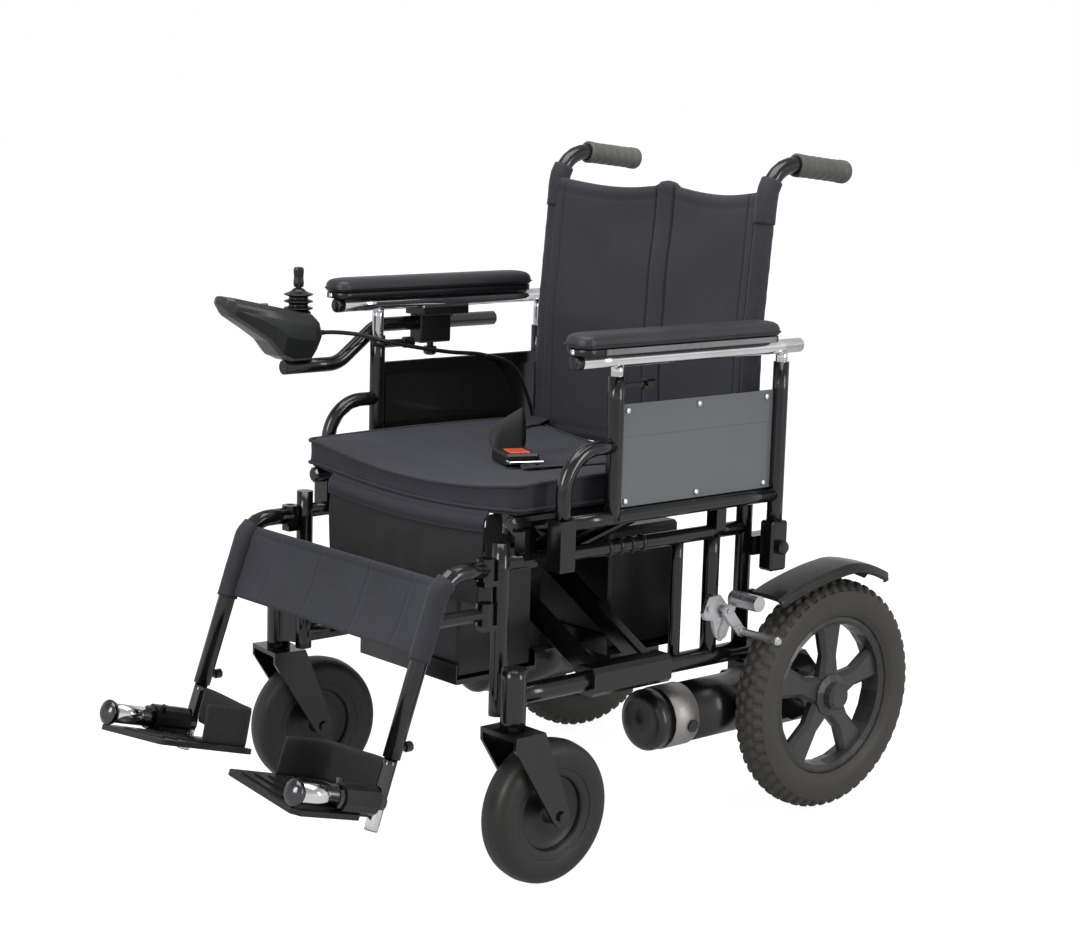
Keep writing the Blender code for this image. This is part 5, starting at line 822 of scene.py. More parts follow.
def fender_skin(name, side, finish):
    """A crowned band over the wheel: its section dips at both edges to a lip, and its far end is rounded."""
    line, at = evenly(spline(FENDER, 8), 0.004)
    ahead = unit(np.gradient(line, axis=0))
    down = np.stack([ahead[:, 1], -ahead[:, 0]], -1)
    s = np.linspace(-1, 1, 41)[None]
    end = np.clip((at - at[-1] + FENDER_ROUND) / FENDER_ROUND, 0, 1)[:, None]
    half = FENDER_HALF - 0.0125 * end**2
    dip = 0.0097 * smooth((np.abs(s) - 0.80) / 0.20) - 0.0025 * (1 - s * s) - 0.0004

    def face(deeper, narrower, share):
        """The band's points on one of its faces: their place along the line, and their depth under it."""
        d = np.broadcast_to(dip, (len(line), s.shape[1])) * share + deeper
        x = side * FENDER_X + s * (half - narrower)
        over = line[:, None] + down[:, None] * d[..., None]
        return np.concatenate([x[..., None], over], -1)

    return slab(name, face(0.0, 0.0, 1.0), face(0.0042, 0.0034, 0.9), finish)


for side, label in SIDES:
    body = label + "_side"
    belongs(fender_skin(label + "_fender_skin", side, fender_plastic), body, "black_plastic")
    for part, profile, finish, slot_name in MOTOR_PARTS:
        motor_end = (side * 0.180, 0.0706, 0.1525)
        made = turned_piece(f"{label}_motor_{part}", profile, motor_end, (0, 1, 0), finish, 96)
        belongs(made, body, slot_name)
    for k, y in enumerate(np.linspace(-0.025, 0.035, 4)):
        foot = (side * FRAME_X, y, UPPER_RAIL_Z)
        made = turned_piece(f"{label}_rail_band_{k}", RAIL_BAND, foot, (0, 1, 0), black_plastic, 40, True)
        belongs(made, body, "black_plastic")
    for k, (share, z) in enumerate((a, b) for a in (0.045, 0.5, 0.955) for b in (0.4735, 0.5900)):
        for face, low, way in (("out", 0.2451, side), ("in", 0.2423, -side)):
            foot = (side * low, GUARD_FRONT + share * GUARD_LONG, z)
            name = f"{label}_guard_bolt_{face}_{k}"
            made = turned_piece(name, BOLT_DOME, foot, (way, 0, 0), bright_bolt, 24)
            belongs(made, label + "_flip_arm", "aluminium")

# %% [markdown]
# Tyres
# The drive tyres are pneumatic and carry four staggered rows of small square knobs. The profile from bead
# to bead is one smooth curve, and a second function lowers it between the knobs, so that their tops keep
# the tyre's true size.

# %% Knobbed tyres
TYRE_R, BEAD_R, KNOBS_ROUND, KNOB_DEEP = 0.1625, 0.1118, 54, 0.0040
WHEEL_X, AXLE_Y = 0.2505, 0.3593
KNOB_ROWS = ((-0.0192, 0.0), (-0.0066, 0.5), (0.0066, 0.0), (0.0192, 0.5))
TYRE_SIDE = [(BEAD_R, -0.019), (0.121, -0.0247), (0.133, -0.0265), (0.146, -0.0252), (0.1535, -0.0218)]
TYRE_SIDE += [(0.1592, -0.0155), (0.1618, -0.0080), (TYRE_R, 0.0)]


def knobs(angle, across):
    """How far the tread lies under its knobs' tops: a raised block where a row and a beat round it meet."""
    wave = np.zeros(np.broadcast(angle, across).shape)
    for middle, shift in KNOB_ROWS:
        beat = np.abs((angle * KNOBS_ROUND / (2 * np.pi) + shift) % 1.0 - 0.5) * 2
        wide = np.abs(across - middle) / 0.0043
        block = np.clip((0.64 - beat) / 0.14, 0, 1) * np.clip((1.12 - wide) / 0.24, 0, 1)
        wave = np.maximum(wave, block)
    return KNOB_DEEP * (1 - wave)


def tyre(name, centre, finish):
    """The profile carried round the axle, lowered between the knobs where it is tread."""
    half = spline(TYRE_SIDE, 6)
    profile, _ = evenly(np.concatenate([half, (half * (1, -1))[::-1][1:]]), 0.00135)
    inner = np.linspace((BEAD_R, 0.019), (BEAD_R, -0.019), 6)[1:-1]
    profile = np.concatenate([profile, inner])
    a = np.linspace(0, 2 * np.pi, KNOBS_ROUND * 9, endpoint=False)
    r, w = profile[:, :1], profile[:, 1:]
    tread = np.clip((r - 0.1495) / 0.003, 0, 1)
    radius = r - tread * knobs(a[None], w)
    across = centre[0] + np.broadcast_to(w, radius.shape)
    grid = np.stack([across, centre[1] + radius * np.cos(a), centre[2] + radius * np.sin(a)], -1)
    return grid_piece(name, grid, finish, True, None)


for side, label in SIDES:
    made = tyre(label + "_knobbed_tyre", (side * WHEEL_X, AXLE_Y, TYRE_R), tyre_rubber)
    belongs(made, label + "_drive_wheel", "tyre_rubber", label + "_tyre")
    print(made.name, len(made.data.polygons), "faces")

# %% [markdown]
# Casters and grips
# The casters are solid rubber on a moulded hub, smooth on the tread with one step on each flank. The grips
# are ribbed rubber. All are turned: a profile of radius and height carried in a circle.

# %% Caster wheels
CASTER_R, CASTER_TRAIL, CASTER_TURN = 0.0932, 0.0556, {1: 0.0, -1: math.radians(-7.5)}
FLANK = [(0.0470, 0.0120), (0.0485, 0.0165), (0.0520, 0.0185), (0.0585, 0.0198), (0.0600, 0.0212)]
FLANK += [(0.0700, 0.0228), (0.0790, 0.0224), (0.0865, 0.0190), (0.0912, 0.0120), (CASTER_R, 0.0)]
HUB = [(0.0040, 0.0290), (0.0105, 0.0290), (0.0115, 0.0280), (0.0128, 0.0115), (0.0150, 0.0100)]
HUB += [(0.0420, 0.0100), (0.0450, 0.0118), (0.0492, 0.0118)]
for side, label in SIDES:
    turn = CASTER_TURN[side]
    axis = np.array([math.cos(turn), math.sin(turn), 0.0])
    back = (side * CASTER_X - CASTER_TRAIL * math.sin(turn), CASTER_Y + CASTER_TRAIL * math.cos(turn))
    centre = np.array([*back, CASTER_R])
    curve = spline(FLANK, 4)
    flank = np.concatenate([curve, (curve * (1, -1))[::-1][1:]])
    tread = turned_piece(label + "_caster_tread", flank, centre, axis, caster_rubber, 160, True)
    belongs(tread, label + "_caster", "tyre_rubber", label + "_caster_wheel")
    hub = HUB + [(r, -w) for r, w in HUB[::-1]]
    made = turned_piece(label + "_caster_hub", hub, centre, axis, black_plastic, 96, True)
    belongs(made, label + "_caster", "black_plastic")

# %% Grips
GRIP_R, GRIP_START_Y, GRIP_END = 0.016, 0.2988, (0.3985, 0.884)
GRIP_RIBS = 5
for side, label in SIDES:
    slope = unit(np.array([0.0, GRIP_END[0] - 0.229 - 0.02047, GRIP_END[1] - 0.899]))
    end = np.array([side * FRAME_X, *GRIP_END])
    start = end - slope * (GRIP_END[0] - GRIP_START_Y) / slope[1]
    length = float(np.linalg.norm(end - start))
    profile = [(0.0113, length - 0.004), (0.0113, 0.0), (0.0152, 0.0), (GRIP_R, 0.0012), (GRIP_R, 0.0080)]
    pitch = (length - 0.026) / GRIP_RIBS
    for k in range(GRIP_RIBS):
        foot = 0.010 + k * pitch
        profile += [(GRIP_R - 0.0013, foot), (GRIP_R - 0.0013, foot + 0.0010)]
        profile += [(GRIP_R - 0.0007, foot + 0.0026), (GRIP_R - 0.0005, foot + pitch * 0.5)]
        profile += [(GRIP_R - 0.0008, foot + pitch - 0.0026)]
    profile += [(GRIP_R - 0.0017, length - 0.0150), (GRIP_R, length - 0.0130), (GRIP_R, length - 0.0030)]
    profile += [(GRIP_R - 0.0010, length - 0.0008), (GRIP_R - 0.0030, length), (0.0004, length)]
    profile += [(0.0004, length - 0.004)]
    made = turned_piece(label + "_ribbed_grip", profile, start, slope, grip_rubber, 64, True)
    belongs(made, label + "_side", "grip_rubber", label + "_grip")

# %% [markdown]
# Swelling a cover
# A cushion is a cover filled with foam. The cover starts a little smaller than the foam would press it, is
# remeshed into even squares, and a cloth simulation pushes it out from within. A mask holds what is sewn or
# lies on something, and a cap keeps the rest from ballooning.

# %% Cloth under pressure
def remeshed(piece, voxel, rounds=2):
    """The same closed form in even squares, whose steps are smoothed by moving each point to its mean."""
    change = piece.modifiers.new("remesh", "REMESH")
    change.mode, change.voxel_size = "VOXEL", voxel
    seen = piece.evaluated_get(bpy.context.evaluated_depsgraph_get())
    mesh = bpy.data.meshes.new_from_object(seen)
    piece.modifiers.clear()
    shell = bmesh.new()
    shell.from_mesh(mesh)
    axes = {"use_axis_x": True, "use_axis_y": True, "use_axis_z": True}
    for _ in range(rounds):
        bmesh.ops.smooth_vert(shell, verts=shell.verts, factor=0.5, **axes)
    shell.to_mesh(mesh)
    shell.free()
    shade_smooth(mesh)
    piece.data = mesh


def places(mesh):
    """The points of a mesh as an array."""
    flat = np.empty(3 * len(mesh.vertices))
    mesh.vertices.foreach_get("co", flat)
    return flat.reshape(-1, 3)


def place(mesh, points):
    """Moves a mesh's points."""
    mesh.vertices.foreach_set("co", points.ravel())
    mesh.update()


SWELL_FRAMES = 20


def swell(piece, pressure, cap, free):
    """Lets the cloth move for its frames, then keeps each point's way times free, no longer than the cap."""
    before = places(piece.data)
    cloth = piece.modifiers.new("cloth", "CLOTH")
    cloth.settings.use_pressure = True
    cloth.settings.uniform_pressure_force = pressure
    cloth.settings.effector_weights.gravity = 0.0
    cloth.settings.quality = 5
    for frame_number in range(1, SWELL_FRAMES + 1):
        bpy.context.scene.frame_set(frame_number)
    seen = piece.evaluated_get(bpy.context.evaluated_depsgraph_get())
    moved = places(seen.data) - before
    piece.modifiers.clear()
    bpy.context.scene.frame_set(1)
    way = np.linalg.norm(moved, axis=1, keepdims=True)
    moved *= np.minimum(1.0, cap / np.maximum(way, 1e-9)) * free(before)[:, None]
    place(piece.data, before + moved)
    print(piece.name, "swelled by up to", round(float(np.linalg.norm(moved, axis=1).max()) * 1000, 1), "mm")


def box_uv(mesh):
    """A UV map in metres: each face takes the two coordinates that it faces least."""
    points = places(mesh)
    index = np.empty(len(mesh.loops), dtype=np.int64)
    mesh.loops.foreach_get("vertex_index", index)
    normals = np.empty(3 * len(mesh.polygons))
    mesh.polygons.foreach_get("normal", normals)
    sizes = np.empty(len(mesh.polygons), dtype=np.int64)
    mesh.polygons.foreach_get("loop_total", sizes)
    main = np.repeat(np.argmax(np.abs(normals.reshape(-1, 3)), axis=1), sizes)
    keep = np.array([(1, 2), (0, 2), (0, 1)])[main]
    flat = np.take_along_axis(points[index], keep, axis=1)
    mesh.uv_layers.new(name="cloth").uv.foreach_set("vector", flat.astype(np.float32).ravel())


def refined(piece):
    """One subdivision, the same in the view and the render."""
    change = piece.modifiers.new("subdivision", "SUBSURF")
    change.levels = change.render_levels = 1

# %% [markdown]
# The seat cushion
# A firm foam slab in a boxed cover: a top, a bottom and a boxing strip between two piped seams. Its top
# dips between the seat rails with the sling under it. The corner at the sitter's right front is pulled
# outward, as it is where a cover has stretched.

# %% Outline and heights
SEAT_HALF, SEAT_FRONT, SEAT_REAR, SEAT_CORNER = 0.218, -0.188, 0.201, 0.013
SLING_Z, SLING_SAG, SLING_SPAN = 0.4663, 0.012, 0.202


def sling_height(x):
    """The sling's underside: level on the rails, a parabola between them."""
    return SLING_Z - SLING_SAG * (1 - np.minimum(1, (np.asarray(x) / SLING_SPAN) ** 2))


def cushion_low(x):
    """The cushion's underside lies on the sling."""
    return sling_height(x) + 0.0036


def cushion_thick(x, y):
    """The foam's thickness: least in the middle where one sits, a little more half way back."""
    share = np.clip((np.asarray(y) - SEAT_FRONT) / (SEAT_REAR - SEAT_FRONT), 0, 1)
    return 0.0350 - 0.0075 * (1 - (np.asarray(x) / SEAT_HALF) ** 2) + 0.004 * np.sin(np.pi * share) ** 0.6


def seat_half(y):
    """Half the width at a distance back, drawn in by a quarter circle at the corners."""
    d = np.minimum(np.asarray(y) - SEAT_FRONT, SEAT_REAR - np.asarray(y))
    d = np.clip(d, 0, SEAT_CORNER)
    return SEAT_HALF - (SEAT_CORNER - np.sqrt(SEAT_CORNER**2 - (SEAT_CORNER - d) ** 2))


def flared(points):
    """Pulls the right front corner outward, forward and a little down."""
    gone = (points[..., 0] + SEAT_HALF) ** 2 + (points[..., 1] - SEAT_FRONT) ** 2
    near = np.exp(-gone / 0.024**2)[..., None]
    return points + near * np.array([-0.0075, -0.0045, -0.001])


def seat_rows():
    """Distances back: close together round the corners, even between them."""
    round_end = SEAT_CORNER * (1 - np.cos(np.linspace(0, np.pi / 2, 7)))
    middle = np.linspace(SEAT_FRONT + SEAT_CORNER, SEAT_REAR - SEAT_CORNER, 60)[1:-1]
    return np.concatenate([SEAT_FRONT + round_end, middle, (SEAT_REAR - round_end)[::-1]])


def seat_seam(share, out=0.0):
    """A loop round the cushion at a share of its thickness."""
    y = seat_rows()
    half = seat_half(y) + out
    sides = np.stack([half, y], -1)
    front = np.linspace((-half[0], SEAT_FRONT - out), (half[0], SEAT_FRONT - out), 44)[1:-1]
    rear = np.linspace((half[-1], SEAT_REAR + out), (-half[-1], SEAT_REAR + out), 44)[1:-1]
    loop = np.concatenate([front, sides, rear, (sides * (-1, 1))[::-1]])
    z = cushion_low(loop[:, 0]) + share * cushion_thick(loop[:, 0], loop[:, 1])
    return flared(np.column_stack([loop, z]))

# %% Cushion
y = seat_rows()[:, None]
x = (seat_half(y) - 0.0004) * np.linspace(-1, 1, 90)[None]
yy = np.broadcast_to(y, x.shape)
top = np.stack([x, yy, cushion_low(x) + cushion_thick(x, yy) - 0.0008], -1)
bottom = np.stack([x, yy, cushion_low(x) + 0.0004], -1)
cushion = slab("seat_cushion_cover", flared(top), flared(bottom), seat_nylon)
remeshed(cushion, 0.0048)
BUCKLE_AT, BUCKLE_REACH = (0.041, -0.042), (0.060, 0.056)
buckle_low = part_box("belt_buckle")[0][2]


def cushion_free(points):
    """Nothing moves at the seams or below, the top most in its middle, the boxing most at half its height."""
    x, y, z = points.T
    share = np.clip((z - cushion_low(x)) / cushion_thick(x, y), 0, 1)
    inside = np.minimum(np.minimum(y - SEAT_FRONT, SEAT_REAR - y), SEAT_HALF - np.abs(x))
    on_top = smooth((inside - 0.004) / 0.070) * (share > 0.6)
    boxing = 0.55 * np.sin(np.pi * share) * (inside < 0.008)
    return np.maximum(on_top, boxing)


swell(cushion, 4.0, 0.0050, cushion_free)
points = places(cushion.data)
away = np.hypot(*((points[:, k] - BUCKLE_AT[k]) / BUCKLE_REACH[k] for k in (0, 1)))
under = 1 - smooth((away - 0.75) / 0.5)
excess = np.maximum(points[:, 2] - (buckle_low - 0.0005), 0)
points[:, 2] -= under * excess
place(cushion.data, points)
box_uv(cushion.data)
refined(cushion)
belongs(cushion, "seat", "nylon", "seat_cushion")

for share, name in ((0.935, "top"), (0.065, "low")):
    piping = tube_piece("cushion_piping_" + name, seat_seam(share, -0.0012), 0.0021, binding, 12, closed=True)
    belongs(piping, "seat", "nylon")
print("cushion:", len(cushion.data.polygons), "faces")

# %% [markdown]
# Sling, hem and front panel
# The sling is one nylon sheet stretched between the seat rails. In front it ends in a doubled hem that
# hangs in the same curve, and a thinner dark panel hangs on behind the calf strap. The panel buckles in
# shallow upright folds.

# %% Sling
SLING_HALF, SLING_FRONT, SLING_REAR = 0.2135, -0.187, 0.191
x = np.linspace(-SLING_HALF, SLING_HALF, 110)[None]
y = np.linspace(SLING_FRONT, SLING_REAR, 60)[:, None]
x, y = np.broadcast_arrays(x, y)
under = np.stack([x, y, sling_height(x) + 0.0002], -1)
wide, deep = np.linspace(0, 0.427, 110), np.linspace(0, 0.378, 60)
sling = slab("sling_sheet", under + (0, 0, 0.0028), under, dark_nylon, wide, deep)
belongs(sling, "seat", "nylon", "seat_sling")


def hung(name, half, top, fall, front, thick, finish, rows=26, columns=120, folds=0.0):
    """A cloth that hangs across the front: each column falls by fall, and bulges forward by its share."""
    s = np.linspace(-1, 1, columns)[None]
    t = np.linspace(0, 1, rows)[:, None]
    x = s * half(t)
    z = top(x) - fall(x) * t
    upright = np.sin(x * 95 + 1.4 * np.sin(x * 31)) * np.sqrt(t)
    y = front(t) - folds * (upright + 0.5 * np.sin(x * 41 + 9 * t))
    outer = np.stack([x, y + 0 * x, z], -1)
    wide, deep = np.linspace(0, 2 * float(half(0.5)), columns), np.linspace(0, float(fall(0.0)), rows)
    return slab(name, outer, outer + (0, thick, 0), finish, wide, deep)


def hem_front(t):
    """The hem's distance from the front at a share of its height: it bulges and turns under."""
    return -0.1872 - 0.0105 * np.sin(np.minimum(t * 1.25, 1) * np.pi * 0.62)


HEM_FALL = 0.0270
hem = hung(
    "sling_front_hem", lambda t: 0.1640 + 0 * t, lambda x: sling_height(x) + 0.0030,
    lambda x: HEM_FALL + 0 * x, hem_front, 0.0034, seat_nylon,
)
belongs(hem, "seat", "nylon")
panel = hung(
    "sling_front_panel", lambda t: 0.1630 - 0.008 * t**3, lambda x: sling_height(x) - 0.0200,
    lambda x: sling_height(x) - 0.3620 + 0 * x, lambda t: -0.1935 - 0.0045 * np.sin(np.pi * t * 0.8),
    0.0022, dark_nylon, 40, 160, 0.0011,
)
belongs(panel, "seat", "nylon")
for side, label in SIDES:
    y, z = np.meshgrid(np.linspace(-0.1925, -0.166, 16), np.linspace(0.4600, 0.3660, 40))
    x = side * (0.1625 + 0.0010 * np.sin(z * 140 + y * 60))
    inner = np.stack([x, y, z], -1)
    outer = inner + (side * 0.0018, 0, 0)
    made = slab(label + "_sling_side_flap", outer, inner, dark_nylon, y[0], z[:, 0])
    belongs(made, "seat", "nylon")

# %% [markdown]
# Stitching
# A machine stitch is a short thread lying in the cloth, with a gap before the next. All stitches of a row
# are one mesh: a capsule of five rings, placed along the path by whole arrays.

# %% A row of stitches
STITCH_PITCH, STITCH_LONG, STITCH_WIDE, STITCH_SIDES = 0.0042, 0.0028, 0.0005, 6


def stitches(name, path, out, finish):
    """A capsule along the path at each beat, flattened towards the cloth and sunk half its depth."""
    path, _ = evenly(np.asarray(path, float), STITCH_PITCH)
    ahead = unit(np.gradient(path, axis=0))
    out = unit(np.broadcast_to(np.asarray(out, float), path.shape))
    aside = unit(np.cross(ahead, out))
    a = np.linspace(0, 2 * np.pi, STITCH_SIDES, endpoint=False)
    along = np.array([-0.5, -0.42, 0.0, 0.42, 0.5])
    girth = np.array([0.15, 0.75, 1.0, 0.75, 0.15])
    ring = np.stack([np.cos(a), np.sin(a)], -1)
    local = along[:, None, None] * STITCH_LONG * ahead[:, None, None, None, :].reshape(-1, 1, 1, 3)
    section = ring[None, :, :1] * aside[:, None, None] + ring[None, :, 1:] * out[:, None, None] * 0.8
    points = path[:, None, None] + local + section * (girth[:, None, None] * STITCH_WIDE)
    rows, sides = len(along), STITCH_SIDES
    start = np.arange(len(path))[:, None, None] * rows * sides
    faces = (quads_of(rows, sides)[0][None] + start).reshape(-1, 4).tolist()
    ends = np.array([np.arange(sides)[::-1], (rows - 1) * sides + np.arange(sides)])
    faces += (ends[None] + start).reshape(-1, sides).tolist()
    mesh = bpy.data.meshes.new(name)
    mesh.from_pydata(points.reshape(-1, 3).tolist(), [], faces)
    shade_smooth(mesh)
    return finished(name, mesh, finish)


x = np.linspace(-0.160, 0.160, 90)
for drop, name in ((0.0050, "upper"), (0.0225, "lower")):
    line = np.stack([x, 0 * x + hem_front(drop / HEM_FALL) - 0.0001, sling_height(x) + 0.003 - drop], -1)
    belongs(stitches("hem_stitches_" + name, line, (0, -1, 0), thread), "seat", "nylon")

# %% [markdown]
# The back
# Two padded panels of the same nylon run from cane to cane, with a flat strip between two rows of stitching
# down the middle. Each edge is a sleeve that slides over a push cane, and the top of each sleeve is turned
# over into a hem.

# %% Back panel
BACK_FRONT, BACK_LOW, BACK_TOP, BACK_HALF = 0.22075, 0.480, 0.858, 0.199
CANE_BEND_Z, CANE_LEAN = 0.660, math.radians(4.9)


def cane_lean(z):
    """How far back a cane leans above its bend."""
    return np.maximum(np.asarray(z) - CANE_BEND_Z, 0) * math.tan(CANE_LEAN)


def back_face(x, z):
    """The panel's middle: a sag between the canes, deepest half way, with slack that ripples its height."""
    slack = 0.0012 * np.sin(z * 46 + 2.2 * np.cos(x * 13)) * (1 - (x / FRAME_X) ** 2)
    return BACK_FRONT + 0.030 * (1 - (x / FRAME_X) ** 2) + cane_lean(z) + slack


def back_puff(x):
    """Padding in front of it: two low pillows and a raised strip, pinched in at the seams."""
    off = np.abs(x)
    pillow = 0.0048 * np.sin(np.pi * np.clip((off - 0.018) / 0.181, 0, 1)) ** 0.7 * (off > 0.018)
    strip = 0.0030 * (1 - (x / 0.017) ** 4) * (off <= 0.017)
    middle_seam = 0.0034 * np.exp(-(((off - 0.0175) / 0.0016) ** 2))
    edge_seam = 0.0015 * np.exp(-(((off - 0.186) / 0.0015) ** 2))
    return pillow + strip - (middle_seam + edge_seam)


def top_edge(x, z):
    """The height with the top hem let down: it sags between the canes, and the strip stands above it."""
    stands = 0.0050 * np.exp(-((np.abs(x) / 0.019) ** 6))
    sag = 0.0090 * np.sin(np.pi * np.clip(np.abs(x) / BACK_HALF, 0, 1)) - stands
    return z - sag * smooth((z - 0.70) / 0.158)


s = np.linspace(-1, 1, 241)
x = np.sign(s) * np.abs(s) ** 1.15 * BACK_HALF
rounding = 0.006 * (1 - np.cos(np.linspace(0, np.pi / 2, 6)))
z = np.concatenate([BACK_LOW + rounding, np.linspace(0.489, 0.849, 84), BACK_TOP - rounding[::-1]])
x, z = np.meshgrid(x, z)
edge = np.minimum(z - BACK_LOW, BACK_TOP - z)
full = 0.35 + 0.65 * np.sqrt(np.clip(edge / 0.007, 0, 1))
hem_line = np.exp(-(((edge - 0.018) / 0.0014) ** 2)) * 0.0011
front = np.stack([x, back_face(x, z) - full * (0.0055 + back_puff(x)) + hem_line, top_edge(x, z)], -1)
rear = np.stack([x, back_face(x, z) + full * 0.0058, top_edge(x, z)], -1)
back = slab("back_panel", front, rear, back_nylon, x[0], z[:, 0])


def across_fold(piece):
    """Gives the piece a mesh of its own."""
    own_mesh(piece)


belongs(back, "right_side", "nylon", "back_upholstery")
across_fold(back)
z = np.linspace(0.484, 0.854, 120)
for off, name in ((0.0155, "strip"), (0.0195, "seam"), (0.1835, "edge")):
    for side, label in SIDES:
        x = side * off + 0 * z
        line = np.stack([x, back_face(x, z) - 0.0055 - back_puff(x) - 0.0001, top_edge(x, z)], -1)
        row = stitches(f"back_{name}_stitches_{label}", line, (0, -1, 0), thread)
        belongs(row, "right_side", "nylon")
        across_fold(row)

# %% Sleeves of the back
SLEEVE_INNER = 0.01135
for side, label in SIDES:
    x = side * FRAME_X
    route = [(x, 0.229, 0.4812), (x, 0.229, CANE_BEND_Z)] + [(x, y, z) for y, z in CANE[2:4]]
    route.append((x, 0.2541, 0.8729))
    path, _ = evenly(np.array(route), 0.005)
    made = sleeve_piece(label + "_back_sleeve", path, 0.0134, SLEEVE_INNER, back_nylon, 0.0003, side)
    belongs(made, label + "_side", "nylon")
    top = [(x, 0.229 + float(cane_lean(0.816)), 0.816), *route[2:]]
    path, _ = evenly(np.array(top), 0.004)
    made = sleeve_piece(label + "_back_hem", path, 0.0149, 0.0140, back_nylon, 0.0002, side + 1.0)
    belongs(made, label + "_side", "nylon")
print("back:", len(back.data.polygons), "faces")

# %% [markdown]
# The calf strap
# A broad nylon strap hangs between the footrest tubes, sewn into a sleeve round each. It sags backward
# under its own weight, four upright seams gather it, and its top edge is bound.

# %% Calf strap
BEHIND = np.array([0.0, math.cos(FOOT_SLOPE), -math.sin(FOOT_SLOPE)])
BEND_R = 0.020
calf_line = rounded_path([(0, -0.2892, 0.3954), (0, -0.3000, 0.3870), (0, -0.3291, 0.3060)], BEND_R, 8)
calf_line, calf_at = evenly(calf_line, 0.0022)
x = np.linspace(-FRAME_X, FRAME_X, 200)[None, :, None]
flat = smooth(np.minimum((FRAME_X - np.abs(x)) / 0.055, 1.0))
chord = np.linspace(calf_line[0], calf_line[-1], len(calf_line))
middle = calf_line[:, None] * (1 - flat) + chord[:, None] * flat
t = (calf_at / calf_at[-1])[:, None, None]
sag = 0.010 * (1 - (x / FRAME_X) ** 2) * (0.55 + 0.45 * np.sin(np.pi * t)) + 0.002
ripple = 0.0010 * np.sin(x * 60 + 2 * np.sin(t * 5)) * np.sin(np.pi * t) * flat
seams = sum(np.exp(-(((np.abs(x) - s) / 0.0012) ** 2)) for s in (0.052, 0.142)) * 0.0017
band = np.exp(-(((t - 0.115) / 0.016) ** 2)) * 0.0013
middle = middle + BEHIND * (sag + ripple)
middle[..., 0] = np.broadcast_to(x[..., 0], middle.shape[:2])
edge = np.minimum(t, 1 - t)
thick = 0.0024 * np.sqrt(np.clip(edge / 0.02, 0.06, 1)) + 0.0008 * (t < 0.115)
front, rear = middle - BEHIND * (thick - seams - band), middle + BEHIND * thick
calf = slab("calf_strap_cloth", front, rear, calf_nylon, x[0, :, 0], calf_at)
belongs(calf, "right_swing_hanger", "nylon", "calf_strap")
across_fold(calf)
for side, label in SIDES:
    x = side * FRAME_X
    route = rounded_path([(x, -0.2900, 0.3950), (x, -0.3010, 0.3850), (x, -0.3303, 0.3020)], BEND_R, 8)
    path, _ = evenly(route, 0.004)
    made = sleeve_piece(label + "_calf_sleeve", path, 0.0136, SLEEVE_INNER, calf_nylon, 0.0002, side)
    belongs(made, label + "_swing_hanger", "nylon")

# %% [markdown]
# Heel loops, straps and cable
# Flat webbing keeps its width and bends only across its faces. So each strap is a line of stations with a
# direction for its width, drawn through with a smooth curve.

# %% Webbing
def strap_piece(name, centres, across, width, thick, finish, steps=8, columns=11):
    """A band whose width runs along across at each station, with edges rounded over its thickness."""
    line, wide = spline(centres, steps), spline(across, steps)
    ahead = unit(np.gradient(line, axis=0))
    stretch = np.linalg.norm(wide, axis=1, keepdims=True)
    over = unit(np.cross(wide, ahead))
    s = np.linspace(-1, 1, columns)[None, :, None]
    half = thick / 2 * np.sqrt(np.clip((1 - np.abs(s)) / 0.10, 0.20, 1))
    ribs = 1 - 0.12 * (np.abs(np.abs(s) - 0.86) < 0.05)
    middle = line[:, None] + (unit(wide) * stretch)[:, None] * s * width / 2
    at = length_so_far(line)
    front, rear = middle + over[:, None] * half * ribs, middle - over[:, None] * half * ribs
    return slab(name, front, rear, finish, np.linspace(0, width, columns), at), at[-1]


for side, label in SIDES:
    hinge, inboard, rearward, over = pivot_frame(side)
    u = np.array([0.0105, 0.030, 0.062, 0.090, 0.1065, 0.1188, 0.1245, 0.1245, 0.1245, 0.1245])
    v = np.array([0.1378, 0.1397, 0.1422, 0.1441, 0.1450, 0.1398, 0.1270, 0.110, 0.090, 0.068])
    low = np.array([0.0030, -0.0010, -0.0070, -0.0125, -0.0152, -0.0160, -0.0162, -0.0162, -0.0162, -0.0162])
    high = np.array([0.0490, 0.0470, 0.0420, 0.0380, 0.0360, 0.0352, 0.0350, 0.0348, 0.0344, 0.0340])
    stations = hinge + inboard * u[:, None] + rearward * v[:, None]
    lean = inboard * np.linspace(0.0055, 0, 10)[:, None] * (np.arange(10) < 3)[:, None]
    foot, head = spline(stations + over * low[:, None], 8), spline(stations + over * high[:, None] + lean, 8)
    ahead = unit(np.gradient(foot, axis=0))
    out = unit(np.cross(ahead, np.broadcast_to(over, ahead.shape)))
    s = np.linspace(0, 1, 12)[None, :, None]
    middle = foot[:, None] + (head - foot)[:, None] * s
    half = 0.0013 * np.sqrt(np.clip(np.minimum(s, 1 - s) / 0.05, 0.15, 1))
    front, rear = middle + out[:, None] * half, middle - out[:, None] * half
    loop = slab(label + "_heel_webbing", front, rear, webbing)
    belongs(loop, None, "nylon", label + "_heel_loop")
    start, end = hinge + inboard * 0.012 + rearward * 0.138, hinge + inboard * 0.055 + rearward * 0.142
    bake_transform(loop)

# %% Lap straps
heights = BVHTree.FromPolygons(
    [tuple(p) for p in places(cushion.data)], [tuple(p.vertices) for p in cushion.data.polygons]
)


def seat_top(x, y):
    """The cushion's height at a place."""
    hit = heights.ray_cast(Vector((x, y, 1.0)), Vector((0, 0, -1)))[0]
    return hit.z if hit else float(cushion_low(x) + cushion_thick(x, y))


STRAP_WIDE, STRAP_THICK = 0.040, 0.0021


